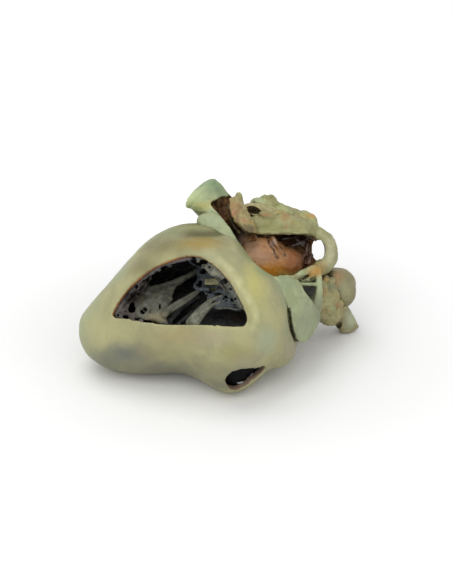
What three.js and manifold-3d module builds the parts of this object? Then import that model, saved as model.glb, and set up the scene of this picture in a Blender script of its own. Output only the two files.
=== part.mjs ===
// A dissected dog's heart as a classroom model, lying on its side. Millimetres.
//
// Every form is drawn in a drawing frame: +X from the tip of the heart to its base, +Z up and +Y into
// the depth of the heart. The finished model is then rolled back by ROLL about X, as it lies on a table,
// where it stands on the underside of the left ventricle and on the end of a vein. Its origin is the
// middle of its footprint. Neighbouring pieces keep GAP between them.

import * as THREE from 'three';
import { mergeVertices } from 'three/addons/utils/BufferGeometryUtils.js';
import Module from 'manifold-3d';

const wasm = await Module();
wasm.setup();

// Driving sizes
const LENGTH = 98.8; // ventricles, from the tip of the heart to its base
const DEPTH = 73; // ventricles, from the near side to the far side
const HEIGHT = 68.2; // ventricles, from the underside to the crest
const ROLL = 25; // degrees from the drawing frame to the resting pose
const GAP = 0.3; // clearance between neighbouring pieces
const FLOOR = -0.5; // height of the table's surface in the rolled pose: what reaches lower is cut flat
const RIGHT_WALL = 2.6; // free wall of the right ventricle
const LEFT_WALL = 3.4; // free wall of the left ventricle
const SEPTUM_WALL = 4.5; // wall between the two ventricles
const LINING = 1.2; // dark inner layer of both ventricles
const TRUNK_WALL = 1.8; // pulmonary trunk
const AORTA_WALL = 1.8;
const VESSEL_LINING = 0.9; // coloured inner layer of the trunk and the aorta
const VEIN_WALL = 1.7; // veins and small arteries
const ATRIUM_WALL = 2.6;
const AZYGOS_WALL = 1;
const CORD = 0.8; // radius of the tendinous cords
const BAR = 2.1; // radius of the small muscle bars where they meet the wall
const TABLE = 400; // side of the block that stands for the table
const CAPS = [75, 45, 20]; // angles at which the rings of a rounded end lie
const ROUGHNESS = 0.62;

// Helpers

const at = (x, y, z) => new THREE.Vector3(x, y, z);
const degrees = THREE.MathUtils.degToRad;

/** The volume inside a closed, indexed geometry; it is negative if the faces point inwards. */
function signedVolume(geometry) {
  const corners = geometry.attributes.position;
  const index = geometry.index.array;
  const [a, b, c] = [at(), at(), at()];
  let sum = 0;
  for (let i = 0; i < index.length; i += 3) {
    a.fromBufferAttribute(corners, index[i]);
    b.fromBufferAttribute(corners, index[i + 1]);
    c.fromBufferAttribute(corners, index[i + 2]);
    sum += a.dot(b.cross(c)) / 6;
  }
  return sum;
}

/** The same geometry with shared corners only, its faces turned outwards. */
function shared(geometry) {
  geometry.deleteAttribute('normal');
  geometry.deleteAttribute('uv');
  const merged = mergeVertices(geometry, 1e-4);
  if (signedVolume(merged) < 0) {
    merged.index.array.reverse();
  }
  return merged;
}

/** A smooth value between the entries of a list, as share goes from 0 to 1. */
function along(values, share) {
  const place = THREE.MathUtils.clamp(share, 0, 1) * (values.length - 1);
  const i = Math.min(Math.floor(place), values.length - 2);
  const t = place - i;
  const before = values[Math.max(i - 1, 0)];
  const after = values[Math.min(i + 2, values.length - 1)];
  const [from, to] = [values[i], values[i + 1]];
  const [slopeFrom, slopeTo] = [(to - before) / 2, (after - from) / 2];
  return from + t * (slopeFrom + t * (3 * (to - from) - 2 * slopeFrom - slopeTo
    + t * (2 * (from - to) + slopeFrom + slopeTo)));
}

/** A closed skin over rings of points, each ring with the same count, fanned shut at both ends. */
function skin(rings) {
  const count = rings[0].length;
  const corners = rings.flat();
  const faces = [];
  for (let r = 0; r + 1 < rings.length; r++) {
    for (let i = 0; i < count; i++) {
      const [a, b] = [r * count + i, r * count + (i + 1) % count];
      faces.push(a, b, b + count, a, b + count, a + count);
    }
  }
  for (const last of [false, true]) {
    const start = last ? corners.length - count - 1 : 0;
    const ring = last ? rings.at(-1) : rings[0];
    const middle = ring.reduce((sum, p) => sum.add(p), at(0, 0, 0)).divideScalar(count);
    corners.push(middle);
    const tip = corners.length - 1;
    for (let i = 0; i < count; i++) {
      const [a, b] = [start + i, start + (i + 1) % count];
      faces.push(tip, ...(last ? [a, b] : [b, a]));
    }
  }
  const geometry = new THREE.BufferGeometry().setFromPoints(corners);
  return shared(geometry.setIndex(faces));
}

/** A form as it was drawn, stretched to the driving sizes. */
function stretched(geometry) {
  return geometry.scale(...stretch);
}

/** A round limb along a smooth path. Its radii run evenly from start to end. */
function limb(path, radii, { sides = 12, round = [] } = {}) {
  const steps = 2 * (path.length - 1);
  const curve = new THREE.CatmullRomCurve3(path);
  const frames = curve.computeFrenetFrames(steps);
  const rings = [];
  const ring = (share, station, push, shrink) => {
    const centre = curve.getPointAt(share).addScaledVector(frames.tangents[station], push);
    rings.push(Array.from({ length: sides }, (_, i) => {
      const angle = (2 * Math.PI * i) / sides;
      const radius = along(radii, share) * shrink;
      return centre.clone()
        .addScaledVector(frames.normals[station], radius * Math.cos(angle))
        .addScaledVector(frames.binormals[station], radius * Math.sin(angle));
    }));
  };
  if (round.includes('start')) {
    CAPS.forEach((a) => ring(0, 0, -radii[0] * Math.sin(degrees(a)), Math.cos(degrees(a))));
  }
  for (let s = 0; s <= steps; s++) {
    ring(s / steps, s, 0, 1);
  }
  if (round.includes('end')) {
    CAPS.toReversed().forEach((a) => {
      ring(1, steps, radii.at(-1) * Math.sin(degrees(a)), Math.cos(degrees(a)));
    });
  }
  return stretched(skin(rings));
}

/** A ball stretched to three radii and turned, with knobs on it that are a share of its radius. */
function pebble(centre, radii, { turn = [0, 0, 0], knobs = 0, seed = 0, detail = 3 } = {}) {
  const geometry = shared(new THREE.IcosahedronGeometry(1, detail));
  const corners = geometry.attributes.position;
  const p = at();
  for (let i = 0; i < corners.count; i++) {
    p.fromBufferAttribute(corners, i);
    const wave = Math.sin(4.1 * p.x + seed) * Math.sin(3.7 * p.y + 2 * seed)
      + Math.sin(5.3 * p.z + 3 * seed) / 2;
    p.multiplyScalar(1 + knobs * wave);
    corners.setXYZ(i, p.x * radii[0], p.y * radii[1], p.z * radii[2]);
  }
  const pose = new THREE.Matrix4().makeRotationFromEuler(new THREE.Euler(...turn.map(degrees)));
  return stretched(geometry.applyMatrix4(pose.setPosition(centre)));
}

/** The form moved outwards by distance along its own normals, or inwards where distance is negative. */
function grown(geometry, distance) {
  const copy = geometry.clone();
  copy.computeVertexNormals();
  const { position, normal } = copy.attributes;
  for (let i = 0; i < position.count; i++) {
    position.setXYZ(
      i,
      position.getX(i) + distance * normal.getX(i),
      position.getY(i) + distance * normal.getY(i),
      position.getZ(i) + distance * normal.getZ(i),
    );
  }
  copy.deleteAttribute('normal');
  return copy;
}

/** A form as a solid that can be joined and cut. */
function solid(geometry) {
  return new wasm.Manifold(new wasm.Mesh({
    numProp: 3,
    vertProperties: new Float32Array(geometry.attributes.position.array),
    triVerts: new Uint32Array(geometry.index.array),
  }));
}

/** Several forms joined into one solid. */
function joined(forms) {
  return forms.map(solid).reduce((a, b) => a.add(b));
}

/** The largest of the bodies that a cut has left. */
function mainBody(made) {
  return made.decompose().reduce((a, b) => (a.volume() > b.volume() ? a : b));
}

/** An outline in X and Z, cut through the depth from y = near to y = far. */
function through(points, near, far) {
  const outline = new THREE.Shape().setFromPoints(
    new THREE.SplineCurve(points.map(([x, z]) => new THREE.Vector2(x, z))).getPoints(2 * points.length),
  );
  const cutter = new THREE.ExtrudeGeometry(outline, { depth: far - near, bevelEnabled: false });
  return solid(stretched(shared(cutter.rotateX(Math.PI / 2).translate(0, far, 0))));
}

// The ventricles' outer surface
// Stations from the tip to the base: x, top, bottom, near side and far side of each section.
const stations = [
  [-63.4, 14, 14, -15, -15],
  [-62.8, 19.6, 8.5, -20, -10],
  [-59.4, 25.2, 2, -27, -3],
  [-51, 34.8, -3.4, -34.5, 4],
  [-41, 46.2, -5.4, -41.5, 8.5],
  [-31, 55.8, -5.8, -48, 11.5],
  [-18, 61.8, -5, -53, 15],
  [-5, 61.8, -6.4, -57.5, 14],
  [5, 57.5, -6.4, -58, 13],
  [14, 51.4, -4.2, -56, 12.5],
  [22, 43.5, 0, -50, 12],
  [28.5, 37, 0.2, -41, 9],
  [33, 29, 3.2, -31, 0],
  [35, 21, 9, -22, -8],
  [35.4, 15, 15, -15, -15],
];
const column = (k) => stations.map((station) => station[k]);
// How far the drawing is stretched along X, Y and Z
const stretch = [
  LENGTH / (Math.max(...column(0)) - Math.min(...column(0))),
  DEPTH / (Math.max(...column(4)) - Math.min(...column(3))),
  HEIGHT / (Math.max(...column(1)) - Math.min(...column(2))),
];
const SECTION_FULLNESS = 2.15; // 2 draws elliptical sections, more draws fuller ones
// Swellings and hollows: the place along X, the angle round the section from straight down towards the
// viewer, the height, and how far they reach along X and round the section.
const swellings = [
  { x: 6.8, angle: 24, height: 8.8, length: 11, spread: 26 }, // base of the left ventricle
  { x: -24, angle: 48, height: -2.2, length: 13, spread: 20 }, // groove below the front face
  { x: -9, angle: 152, height: -1.8, length: 15, spread: 9 }, // groove below the crest
  { x: -14, angle: 130, height: 1.2, length: 14, spread: 12 }, // shoulder above the window
  { x: 28, angle: 40, height: 2.2, length: 6, spread: 26 }, // lower corner at the base
];
const SWELL_FADE = 12; // a swelling fades out where the section's radius is under this

function ventricles(sides, steps) {
  const bell = (distance, width) => Math.exp(-0.5 * (distance / width) ** 2);
  const rings = [];
  for (let s = 1; s < steps; s++) {
    const share = s / steps;
    const [x, top, bottom, near, far] = stations[0].map((_, k) => along(column(k), share));
    rings.push(Array.from({ length: sides }, (_, i) => {
      const angle = (360 * i) / sides;
      const [down, towards] = [Math.cos(degrees(angle)), Math.sin(degrees(angle))];
      const [high, deep] = [(top - bottom) / 2, (far - near) / 2];
      const [a, b] = [Math.abs(down / high), Math.abs(towards / deep)];
      const ellipse = a ** SECTION_FULLNESS + b ** SECTION_FULLNESS;
      const reach = ellipse ** (-1 / SECTION_FULLNESS);
      const swell = swellings.reduce((sum, w) => {
        const round = Math.abs(THREE.MathUtils.euclideanModulo(angle - w.angle + 180, 360) - 180);
        return sum + w.height * bell(x - w.x, w.length) * bell(round, w.spread);
      }, 0);
      const radius = reach + swell * Math.min(1, reach / SWELL_FADE);
      return at(x, (near + far) / 2 - radius * towards, (top + bottom) / 2 - radius * down);
    }));
  }
  return stretched(skin(rings));
}

const outside = ventricles(28, 23);
const inside = ventricles(16, 12);

// The wall between the ventricles is the upper face of a cone, which rises towards the far side
const cone = pebble(at(-5, -12, 5), [74, 55, 24], { turn: [25, 0, 0], detail: 4 });

const ground = solid(shared(new THREE.BoxGeometry(TABLE, TABLE, TABLE)
  .translate(0, 0, FLOOR - TABLE / 2)
  .rotateX(degrees(ROLL))));

const pieces = [];
// The space that is taken, which later pieces are cut clear of
const taken = [];

/** Keeps a finished piece, cut clear of the space that is taken. */
function add(name, colour, made) {
  const body = mainBody(taken.reduce((left, other) => left.subtract(other), made).subtract(ground));
  pieces.push({ name, colour, body });
}

/** Keeps the pieces that follow clear of these forms. */
function keepClear(...forms) {
  forms.forEach((form) => taken.push(solid(grown(form, GAP))));
}

/** A vessel's wall, its bore open at the ends that are named. */
function vessel(path, radii, wall, options = {}) {
  return solid(limb(path, radii, options)).subtract(bore(path, radii, wall, options));
}

/** A vessel's bore, which runs out of its open ends. */
function bore(path, radii, wall, { sides = 12, open = ['start', 'end'] } = {}) {
  const lumen = [...path];
  if (open.includes('start')) {
    lumen[0] = path[0].clone().add(path[0].clone().sub(path[1]).setLength(wall));
  }
  if (open.includes('end')) {
    lumen[path.length - 1] = path.at(-1).clone().add(path.at(-1).clone().sub(path.at(-2)).setLength(wall));
  }
  return solid(limb(lumen, radii.map((r) => r - wall), { sides }));
}

const colours = {
  wall: 0xb3ad7c,
  left: 0xaaa678,
  dark: 0x2b2a28,
  muscle: 0x6e6d5f,
  cord: 0x8f8c78,
  leaflet: 0xa29a70,
  amber: 0x9a6a35,
  brown: 0x4a3722,
  tan: 0xa79a68,
  pale: 0xb4bd97,
  fat: 0xb0ab72,
  vein: 0xa8a17a,
};

// Ventricles
// Window into the right ventricle, seen square on
const rightWindow = [
  [-47.7, 21.1], [-44.5, 28.4], [-40.2, 34.3], [-33.7, 40.2], [-26.2, 44.6], [-18.7, 47.2], [-12.6, 48.1],
  [-7.5, 46.9], [-3.2, 43.9], [1, 39.7], [5, 34.5], [8.4, 28.2], [10.9, 22.5], [11.4, 18.9], [9.4, 16.6],
  [1, 16.6], [-12.3, 17.4], [-23, 17.3], [-34, 18.4], [-42, 19.8], [-47.7, 21.1],
];
const WINDOW_NEAR = -75;
const WINDOW_FAR = -33;
const windowCut = through(rightWindow, WINDOW_NEAR, WINDOW_FAR);
// Window into the left ventricle, through the lower near side of its base
const leftWindow = solid(limb(
  [at(16.5, -68, -15.4), at(8.6, -30, -4.4)],
  [9.6, 8.8],
  { sides: 16 },
));

const chamber = (depth) => solid(grown(inside, -depth));
const coneAt = (depth) => solid(grown(cone, depth));
const rightDepth = RIGHT_WALL + GAP + LINING;
const leftDepth = LEFT_WALL + GAP + LINING;

add('right_ventricle_wall', colours.wall, solid(outside)
  .subtract(chamber(RIGHT_WALL))
  .subtract(coneAt(GAP))
  .subtract(windowCut));
add('left_ventricle_wall', colours.left, solid(outside)
  .intersect(coneAt(0))
  .subtract(chamber(LEFT_WALL).intersect(coneAt(-SEPTUM_WALL)))
  .subtract(leftWindow));
add('right_ventricle_lining', colours.dark, chamber(RIGHT_WALL + GAP)
  .subtract(coneAt(GAP))
  .subtract(chamber(rightDepth).subtract(coneAt(GAP + LINING)))
  .subtract(windowCut.subtract(coneAt(GAP + LINING))));
add('left_ventricle_lining', colours.dark, chamber(LEFT_WALL + GAP)
  .intersect(coneAt(-SEPTUM_WALL - GAP))
  .subtract(chamber(leftDepth).intersect(coneAt(-SEPTUM_WALL - GAP - LINING)))
  .subtract(leftWindow));

// Muscles and cords inside the right ventricle. They rise from the wall between the ventricles.
const rightRoom = chamber(rightDepth + GAP).subtract(coneAt(2 * GAP + LINING));

const largeMuscle = limb(
  [at(-31, -36, 17), at(-27, -31, 25), at(-20, -24, 32), at(-13, -19, 38), at(-7, -16, 43)],
  [7.5, 5.6, 3.2, 2, 1.6],
  { sides: 12 },
);
add('large_papillary_muscle', colours.muscle, solid(largeMuscle).intersect(rightRoom));
keepClear(largeMuscle);
const smallMuscle = limb(
  [at(-27, -38, 20), at(-20.5, -35, 24.8), at(-14.5, -31, 28.4), at(-8.5, -27, 32.4)],
  [2.6, 2, 1.6, 1.3],
  { sides: 8 },
);
add('small_papillary_muscle', colours.muscle, solid(smallMuscle).intersect(rightRoom));
keepClear(smallMuscle);
const band = limb(
  [at(-18, -47, 14.5), at(-13, -43, 20.4), at(-8, -38, 25.4), at(-3, -33, 29.6)],
  [2.8, 2.3, 1.8, 1.3],
  { sides: 8 },
);
const bandBranch = limb(
  [at(-8, -38, 25), at(-3, -37, 25.6), at(3, -35, 27.6)],
  [1.5, 1.4, 1.2],
  { sides: 7 },
);
add('moderator_band', colours.cord, joined([band, bandBranch]).intersect(rightRoom));
keepClear(band, bandBranch);

// Small muscle bars at the tip's end, each springing from the wall and back to it
const barPaths = [
  [at(-46, -34, 21), at(-42, -32, 26), at(-37, -26, 33)],
  [at(-44, -26, 30), at(-38, -30, 25), at(-33, -33, 18)],
  [at(-41, -38, 17), at(-36, -36, 21.5), at(-31, -33, 26)],
];
const bars = barPaths.map((path) => limb(path, [BAR, 0.65 * BAR, BAR], { sides: 7 }));
add('tip_muscle_bars', colours.muscle, joined(bars).intersect(rightRoom));
keepClear(...bars);

// Leaflet of the right valve with its cords, and the bars along the base's side of the window
const leafletAt = at(-3.6, -30, 36);
const leaflet = pebble(
  leafletAt,
  [4.2, 2.6, 2.2],
  { turn: [20, 12, 0], knobs: 0.08, seed: 5, detail: 2 },
);
const cordEnds = [
  at(-8.5, -24, 41.5), at(-10, -28, 36.5), at(-9.5, -31, 33), at(-1.5, -34, 30.5), at(3.5, -30, 32),
  at(3, -22, 41),
];
const cords = cordEnds.map((end) => limb([leafletAt, end], [1.4 * CORD, CORD], { sides: 6 }));
add('right_valve_leaflet', colours.leaflet, joined([leaflet, ...cords]).intersect(rightRoom));
keepClear(leaflet, ...cords);
const basePaths = [
  [at(-2, -18, 46), at(3, -26, 39), at(7, -32, 31), at(9.5, -37, 22)],
  [at(12, -26, 34), at(7, -32, 30), at(1.5, -34, 27)],
];
const baseBarRadii = [BAR, 0.7 * BAR, 0.7 * BAR, BAR];
const baseBars = basePaths.map((path) => limb(path, baseBarRadii, { sides: 7 }));
add('base_muscle_bars', colours.muscle, joined(baseBars).intersect(rightRoom));

// Inside the left ventricle
const leftRoom = chamber(leftDepth + GAP)
  .intersect(coneAt(-SEPTUM_WALL - 2 * GAP - LINING))
  .subtract(leftWindow);
const leftMuscle = limb(
  [at(-24, -18, 2), at(-12, -22, 4), at(-2, -25, 6)],
  [7, 5, 2.6],
  { sides: 10, round: ['end'] },
);
add('left_papillary_muscle', colours.muscle, solid(leftMuscle).intersect(leftRoom));
keepClear(leftMuscle);
const leftCordRoot = at(3, -25.5, 6.8);
const leftCords = [at(24, -20, 12), at(22, -30, 4), at(20, -12, 2)].map(
  (end) => limb([leftCordRoot, end], [1.6 * CORD, CORD], { sides: 6 }),
);
add('left_valve_cords', colours.cord, joined(leftCords).intersect(leftRoom));

// Everything outside keeps clear of the ventricles
taken.length = 0;
keepClear(outside);

// Left atrium, opened along its near side and right through at a vein's mouth
const atriumPath = [at(6, -7, 38), at(19, -3, 43.5), at(32, 1, 46.8), at(43.5, 4, 49)];
const atriumRadii = [13, 17, 16, 11.5];
const atrium = limb(atriumPath, atriumRadii, { sides: 16, round: ['end'] });
const atriumWindow = through([
  [6, 57], [14.5, 57.8], [27, 57.6], [39, 58], [44, 56.8], [47.6, 52.8], [48, 48.6], [45.6, 44.2],
  [39.4, 40], [32, 34], [22, 26], [8, 34], [4, 46], [6, 57],
], -60, -1);
const veinMouth = solid(pebble(at(46, 20, 51), [3.1, 40, 5.6], { detail: 2 }));
add('left_atrium', colours.wall, solid(atrium)
  .subtract(solid(grown(atrium, -ATRIUM_WALL)))
  .subtract(atriumWindow)
  .subtract(veinMouth));
const atriumInner = grown(atrium, -ATRIUM_WALL - GAP);
add('left_atrium_lining', colours.amber, solid(atriumInner)
  .subtract(solid(grown(atriumInner, -VESSEL_LINING)))
  .subtract(atriumWindow)
  .subtract(veinMouth));
keepClear(atrium);

// Pulmonary trunk, opened along its near side
const trunkPath = [at(12, -14, 52.4), at(9.2, -13.4, 59.4), at(5.6, -12.6, 66.4), at(2.8, -12, 72.8)];
const trunkRadii = [7, 7.2, 7, 6.6];
const trunkOptions = { sides: 14 };
const trunk = limb(trunkPath, trunkRadii, trunkOptions);
const trunkSlit = through([
  [-4.2, 71.6], [1.6, 76], [3.6, 71.6], [5.6, 66], [8.8, 59.4], [11.6, 54.8], [9.4, 52.4], [7, 54.4],
  [4, 59.4], [0, 65.2], [-4.2, 71.6],
], -60, -12.4);
add('pulmonary_trunk', colours.tan, vessel(trunkPath, trunkRadii, TRUNK_WALL, trunkOptions)
  .subtract(trunkSlit));
const liningRadii = trunkRadii.map((r) => r - TRUNK_WALL - GAP);
add('pulmonary_trunk_lining', colours.brown, vessel(trunkPath, liningRadii, VESSEL_LINING, trunkOptions)
  .subtract(trunkSlit));
keepClear(trunk);

// Right auricle: a blunt stub and the round lobe below it
const stub = limb(
  [at(-0.6, -17, 66.6), at(-4.2, -16.4, 71.4), at(-7.8, -16, 75.8), at(-9.2, -15.8, 77.8)],
  [7.4, 8, 9.7, 7.2],
  { sides: 16 },
);
add('right_auricle', colours.pale, solid(stub));
keepClear(stub);
const lobe = pebble(at(-4.6, -25.4, 61), [5.8, 7, 5.6], { knobs: 0.06, seed: 2, detail: 3 });
add('right_auricle_lobe', colours.pale, solid(lobe));
keepClear(lobe);

// Rim of the vein's mouth, a thick band round its outer side
const rim = limb(
  [at(41, -2, 60.2), at(47, -2.6, 58.2), at(51, -2.6, 52.6), at(50.8, -2.2, 46), at(46.4, -2, 41.4)],
  [2.2, 3, 3.4, 3.2, 2.6],
  { sides: 10 },
);
add('vein_mouth_rim', colours.wall, solid(rim).subtract(atriumWindow));
keepClear(rim);

// Left auricle: a flap that hangs beside the base, opened by two holes at its root
const flap = limb(
  [at(41.2, -7, 39), at(40, -10, 32), at(38.6, -13, 24.6), at(36.9, -14, 17.4), at(35.6, -14.4, 11)],
  [4.6, 6.6, 7.2, 6.2, 3],
  { sides: 13, round: ['end'] },
);
const upperHole = solid(pebble(at(40, -16, 37), [2.5, 9, 1.8], { detail: 1 }));
const lowerHole = solid(limb(
  [at(37, -17, 34), at(40.2, -17, 31.2), at(42.2, -17, 27.4)],
  [1.6, 2.5, 1.5],
  { sides: 7, round: ['start', 'end'] },
));
add('left_auricle', colours.pale, solid(flap).subtract(upperHole).subtract(lowerHole));
keepClear(flap);

// Aorta behind the trunk, with its branches
const aortaPath = [at(11, 4, 52), at(14.4, 6, 61.5), at(22, 9, 66.5), at(32, 11, 65), at(39, 14, 62)];
const aortaRadii = [7.5, 7.5, 7, 6.5, 6];
const aortaOptions = { sides: 10, open: ['end'] };
add('aorta', colours.wall, vessel(aortaPath, aortaRadii, AORTA_WALL, aortaOptions));
keepClear(limb(aortaPath, aortaRadii, aortaOptions));
const branchPath = [at(13.2, -2.4, 67.6), at(18.6, -3, 68), at(25.6, -2, 67.6)];
const branch = limb(branchPath, [3.8, 4.2, 4], { sides: 10, round: ['start'] });
const branchMouth = solid(pebble(at(16, -8, 69.6), [3.5, 6, 1.9], { turn: [-20, 8, 0], detail: 2 }));
add('brachiocephalic_trunk', colours.wall, solid(branch).subtract(branchMouth));
keepClear(branch);
const peg = limb(
  [at(10, -3, 68), at(9.3, -3.4, 73.4), at(9, -3.6, 76.6)],
  [2.8, 2.3, 1.5],
  { sides: 8, round: ['end'] },
);
add('left_subclavian_artery', colours.fat, solid(peg));
keepClear(peg);

// Fat on the atrium's roof
const roofFat = [
  pebble(at(18.6, 1, 71), [5.2, 5, 4.4], { knobs: 0.09, seed: 1, detail: 2 }),
  pebble(at(24, 2, 71.2), [5.4, 5.4, 5.6], { knobs: 0.09, seed: 3, detail: 2 }),
  pebble(at(29.6, 3, 68), [4.4, 5, 4.8], { knobs: 0.08, seed: 6, detail: 2 }),
];
add('roof_fat', colours.fat, joined(roofFat));
keepClear(...roofFat);
const shelf = pebble(
  at(26, -4.6, 62),
  [16, 6.4, 4.8],
  { turn: [-14, 2, 0], knobs: 0.03, seed: 2, detail: 2 },
);
add('atrium_roof', colours.wall, solid(shelf).subtract(atriumWindow));
keepClear(shelf);
const rearFat = pebble(at(40, 1, 64), [5.6, 6, 5.2], { knobs: 0.07, seed: 4, detail: 2 });
add('rear_roof_fat', colours.fat, solid(rearFat));
keepClear(rearFat);

// Right atrium and the veins at the back
const rightAtrium = pebble(
  at(11, 12, 43),
  [18, 13, 14],
  { turn: [0, 20, 0], knobs: 0.03, seed: 1, detail: 3 },
);
add('right_atrium', colours.wall, solid(rightAtrium));
keepClear(rightAtrium);
const veinOptions = { sides: 10, open: ['end'] };

/** Adds a vein that is open at its far end. */
function addVein(name, path, radii, wall = VEIN_WALL) {
  add(name, colours.vein, vessel(path, radii, wall, veinOptions));
  keepClear(limb(path, radii, veinOptions));
}

addVein('cranial_vena_cava', [at(-2, 14, 46), at(0, 16, 56), at(4, 16, 67)], [6.4, 5.6, 6]);
addVein('azygos_vein', [at(5, 18, 58), at(11, 23, 59), at(19, 25, 56)], [3, 2.8, 2.8], AZYGOS_WALL);

// Veins at the base's far corner
const caudal = limb(
  [at(44.6, 11, 31), at(51.4, 15, 34.2), at(57, 18, 35)],
  [7, 8.4, 8.4],
  { sides: 14, round: ['end'] },
);
add('caudal_vena_cava', colours.vein, solid(caudal));
keepClear(caudal);
const cornerFat = [
  pebble(at(44, 5, 27.6), [10, 9, 10], { knobs: 0.05, seed: 4, detail: 2 }),
  pebble(at(52, 10, 28.2), [5.2, 6, 6.6], { knobs: 0.1, seed: 7, detail: 2 }),
  pebble(at(53.6, 16, 22.6), [5.4, 6, 5.2], { knobs: 0.1, seed: 9, detail: 2 }),
];
add('corner_fat', colours.fat, joined(cornerFat));
keepClear(...cornerFat);
const lowerVeinPath = [at(53.4, 19, 25.4), at(57.6, 24.4, 20.2), at(61.4, 28.4, 15.4)];
addVein('lower_pulmonary_vein', lowerVeinPath, [6, 5.8, 5.2]);
addVein('upper_pulmonary_vein', [at(33, 12, 50), at(34.4, 18, 53), at(36, 25, 55)], [5, 4.6, 4.8]);

// The finished model
const heart = new THREE.Group();
for (const { name, colour, body } of pieces) {
  const { numProp, vertProperties, triVerts } = body.getMesh();
  const geometry = new THREE.BufferGeometry();
  geometry.setAttribute('position', new THREE.BufferAttribute(vertProperties, numProp));
  geometry.setIndex(new THREE.BufferAttribute(triVerts, 1));
  geometry.computeVertexNormals();
  const look = new THREE.MeshStandardMaterial({ color: colour, roughness: ROUGHNESS });
  const mesh = new THREE.Mesh(geometry, look);
  mesh.name = name;
  heart.add(mesh);
}
heart.rotation.x = -degrees(ROLL);
heart.updateMatrixWorld(true);
const footprint = new THREE.Box3().setFromObject(heart, true);
const centre = footprint.getCenter(at());
heart.position.set(-centre.x, -centre.y, -footprint.min.z);

export default heart;
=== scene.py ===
import math

import bpy
import numpy as np
from mathutils import Matrix, Vector
from mathutils.bvhtree import BVHTree


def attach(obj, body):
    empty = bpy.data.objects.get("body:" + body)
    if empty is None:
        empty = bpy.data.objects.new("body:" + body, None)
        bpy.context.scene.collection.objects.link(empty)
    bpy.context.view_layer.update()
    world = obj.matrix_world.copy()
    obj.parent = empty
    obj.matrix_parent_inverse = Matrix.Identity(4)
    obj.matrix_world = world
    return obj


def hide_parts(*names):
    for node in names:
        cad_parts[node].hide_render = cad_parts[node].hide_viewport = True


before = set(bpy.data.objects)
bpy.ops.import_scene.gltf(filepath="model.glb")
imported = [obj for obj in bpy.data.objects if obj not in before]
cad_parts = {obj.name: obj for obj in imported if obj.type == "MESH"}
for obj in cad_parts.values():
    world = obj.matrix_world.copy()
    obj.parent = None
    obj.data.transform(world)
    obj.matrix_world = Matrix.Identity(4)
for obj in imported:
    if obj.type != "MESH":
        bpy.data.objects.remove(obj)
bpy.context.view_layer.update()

# Camera, light and table
# The model is seen level in turn and 25 degrees from above, from 0.8 m, in a soft white light tent.
# The table is white paper that runs out of sight.
TILT = math.radians(25)
CAMERA_AWAY = 0.8
IMAGE_HEIGHT = 584
PIXELS_PER_METRE = 2200
SENSOR = 36
LIGHT_IN_TENT = 0.42
look_at = Vector((0.00142, -0.0005, 0.0351))
bpy.ops.object.camera_add(
    location=look_at + Vector((0, -math.cos(TILT), math.sin(TILT))) * CAMERA_AWAY,
    rotation=(math.pi / 2 - TILT, 0, 0),
)
camera = bpy.context.object
camera.name = "camera"
camera.data.lens = SENSOR * PIXELS_PER_METRE * CAMERA_AWAY / IMAGE_HEIGHT
bpy.context.scene.camera = camera
bpy.context.scene.view_settings.view_transform = "Standard"


def lamp(name, place, size, watts, aim=(0, 0, 0.03)):
    """A square soft lamp that faces a point."""
    bpy.ops.object.light_add(type="AREA", location=place)
    light = bpy.context.object
    light.name = name
    light.rotation_euler = (Vector(aim) - Vector(place)).to_track_quat("-Z", "Y").to_euler()
    light.data.size = size
    light.data.energy = watts


lamp("front_lamp", (-0.3, -0.95, 0.8), 1.4, 8.8)
lamp("right_lamp", (0.75, -0.6, 0.42), 0.9, 1.5)
lamp("top_lamp", (-0.25, 0.12, 1.1), 0.8, 3.5)


class Nodes:
    """The nodes of a material, of the world or of a modifier."""

    def __init__(self, tree):
        self.tree = tree

    def feed(self, value, socket):
        """Joins an output to a socket, or sets the socket to a value."""
        if isinstance(value, bpy.types.NodeSocket):
            self.tree.links.new(value, socket)
        else:
            socket.default_value = value

    def add(self, kind, sockets=None, **settings):
        """Adds a node with these settings and feeds its sockets."""
        node = self.tree.nodes.new(kind)
        for name, setting in settings.items():
            setattr(node, name, setting)
        for socket, value in (sockets or {}).items():
            self.feed(value, node.inputs[socket])
        return node

    def math(self, operation, *values):
        """One sum on values or outputs."""
        return self.add("ShaderNodeMath", dict(enumerate(values)), operation=operation).outputs[0]

    def vector_math(self, operation, *values):
        """One sum on vectors."""
        return self.add("ShaderNodeVectorMath", dict(enumerate(values)), operation=operation)

    def seen_directly(self):
        """A value that is 1 for the camera and for reflections, and 0 for the light on the model."""
        path = self.add("ShaderNodeLightPath").outputs
        mirrored = self.math("MAXIMUM", path["Is Camera Ray"], path["Is Glossy Ray"])
        return self.math("MAXIMUM", mirrored, path["Is Transmission Ray"])


world = bpy.data.worlds.new("light_tent")
bpy.context.scene.world = world
world.use_nodes = True
tent = Nodes(world.node_tree)
level = tent.add("ShaderNodeMapRange",
                 {"To Min": LIGHT_IN_TENT, "To Max": 1.0, "Value": tent.seen_directly()})
sky = world.node_tree.nodes["Background"]
tent.feed((1, 1, 1, 1), sky.inputs["Color"])
tent.feed(level.outputs[0], sky.inputs["Strength"])

bpy.ops.mesh.primitive_plane_add(size=6, location=(0, 0, 0))
table = bpy.context.object
table.name = "table"
paper = bpy.data.materials.new("white_paper")
paper.use_nodes = True
weave = Nodes(paper.node_tree)
to_camera = weave.seen_directly()
fibres = weave.add("ShaderNodeTexNoise", {"Scale": 40}).outputs["Fac"]
in_light = weave.add("ShaderNodeMapRange", {"To Min": 0.66, "To Max": 0.7, "Value": fibres}).outputs[0]
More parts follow.
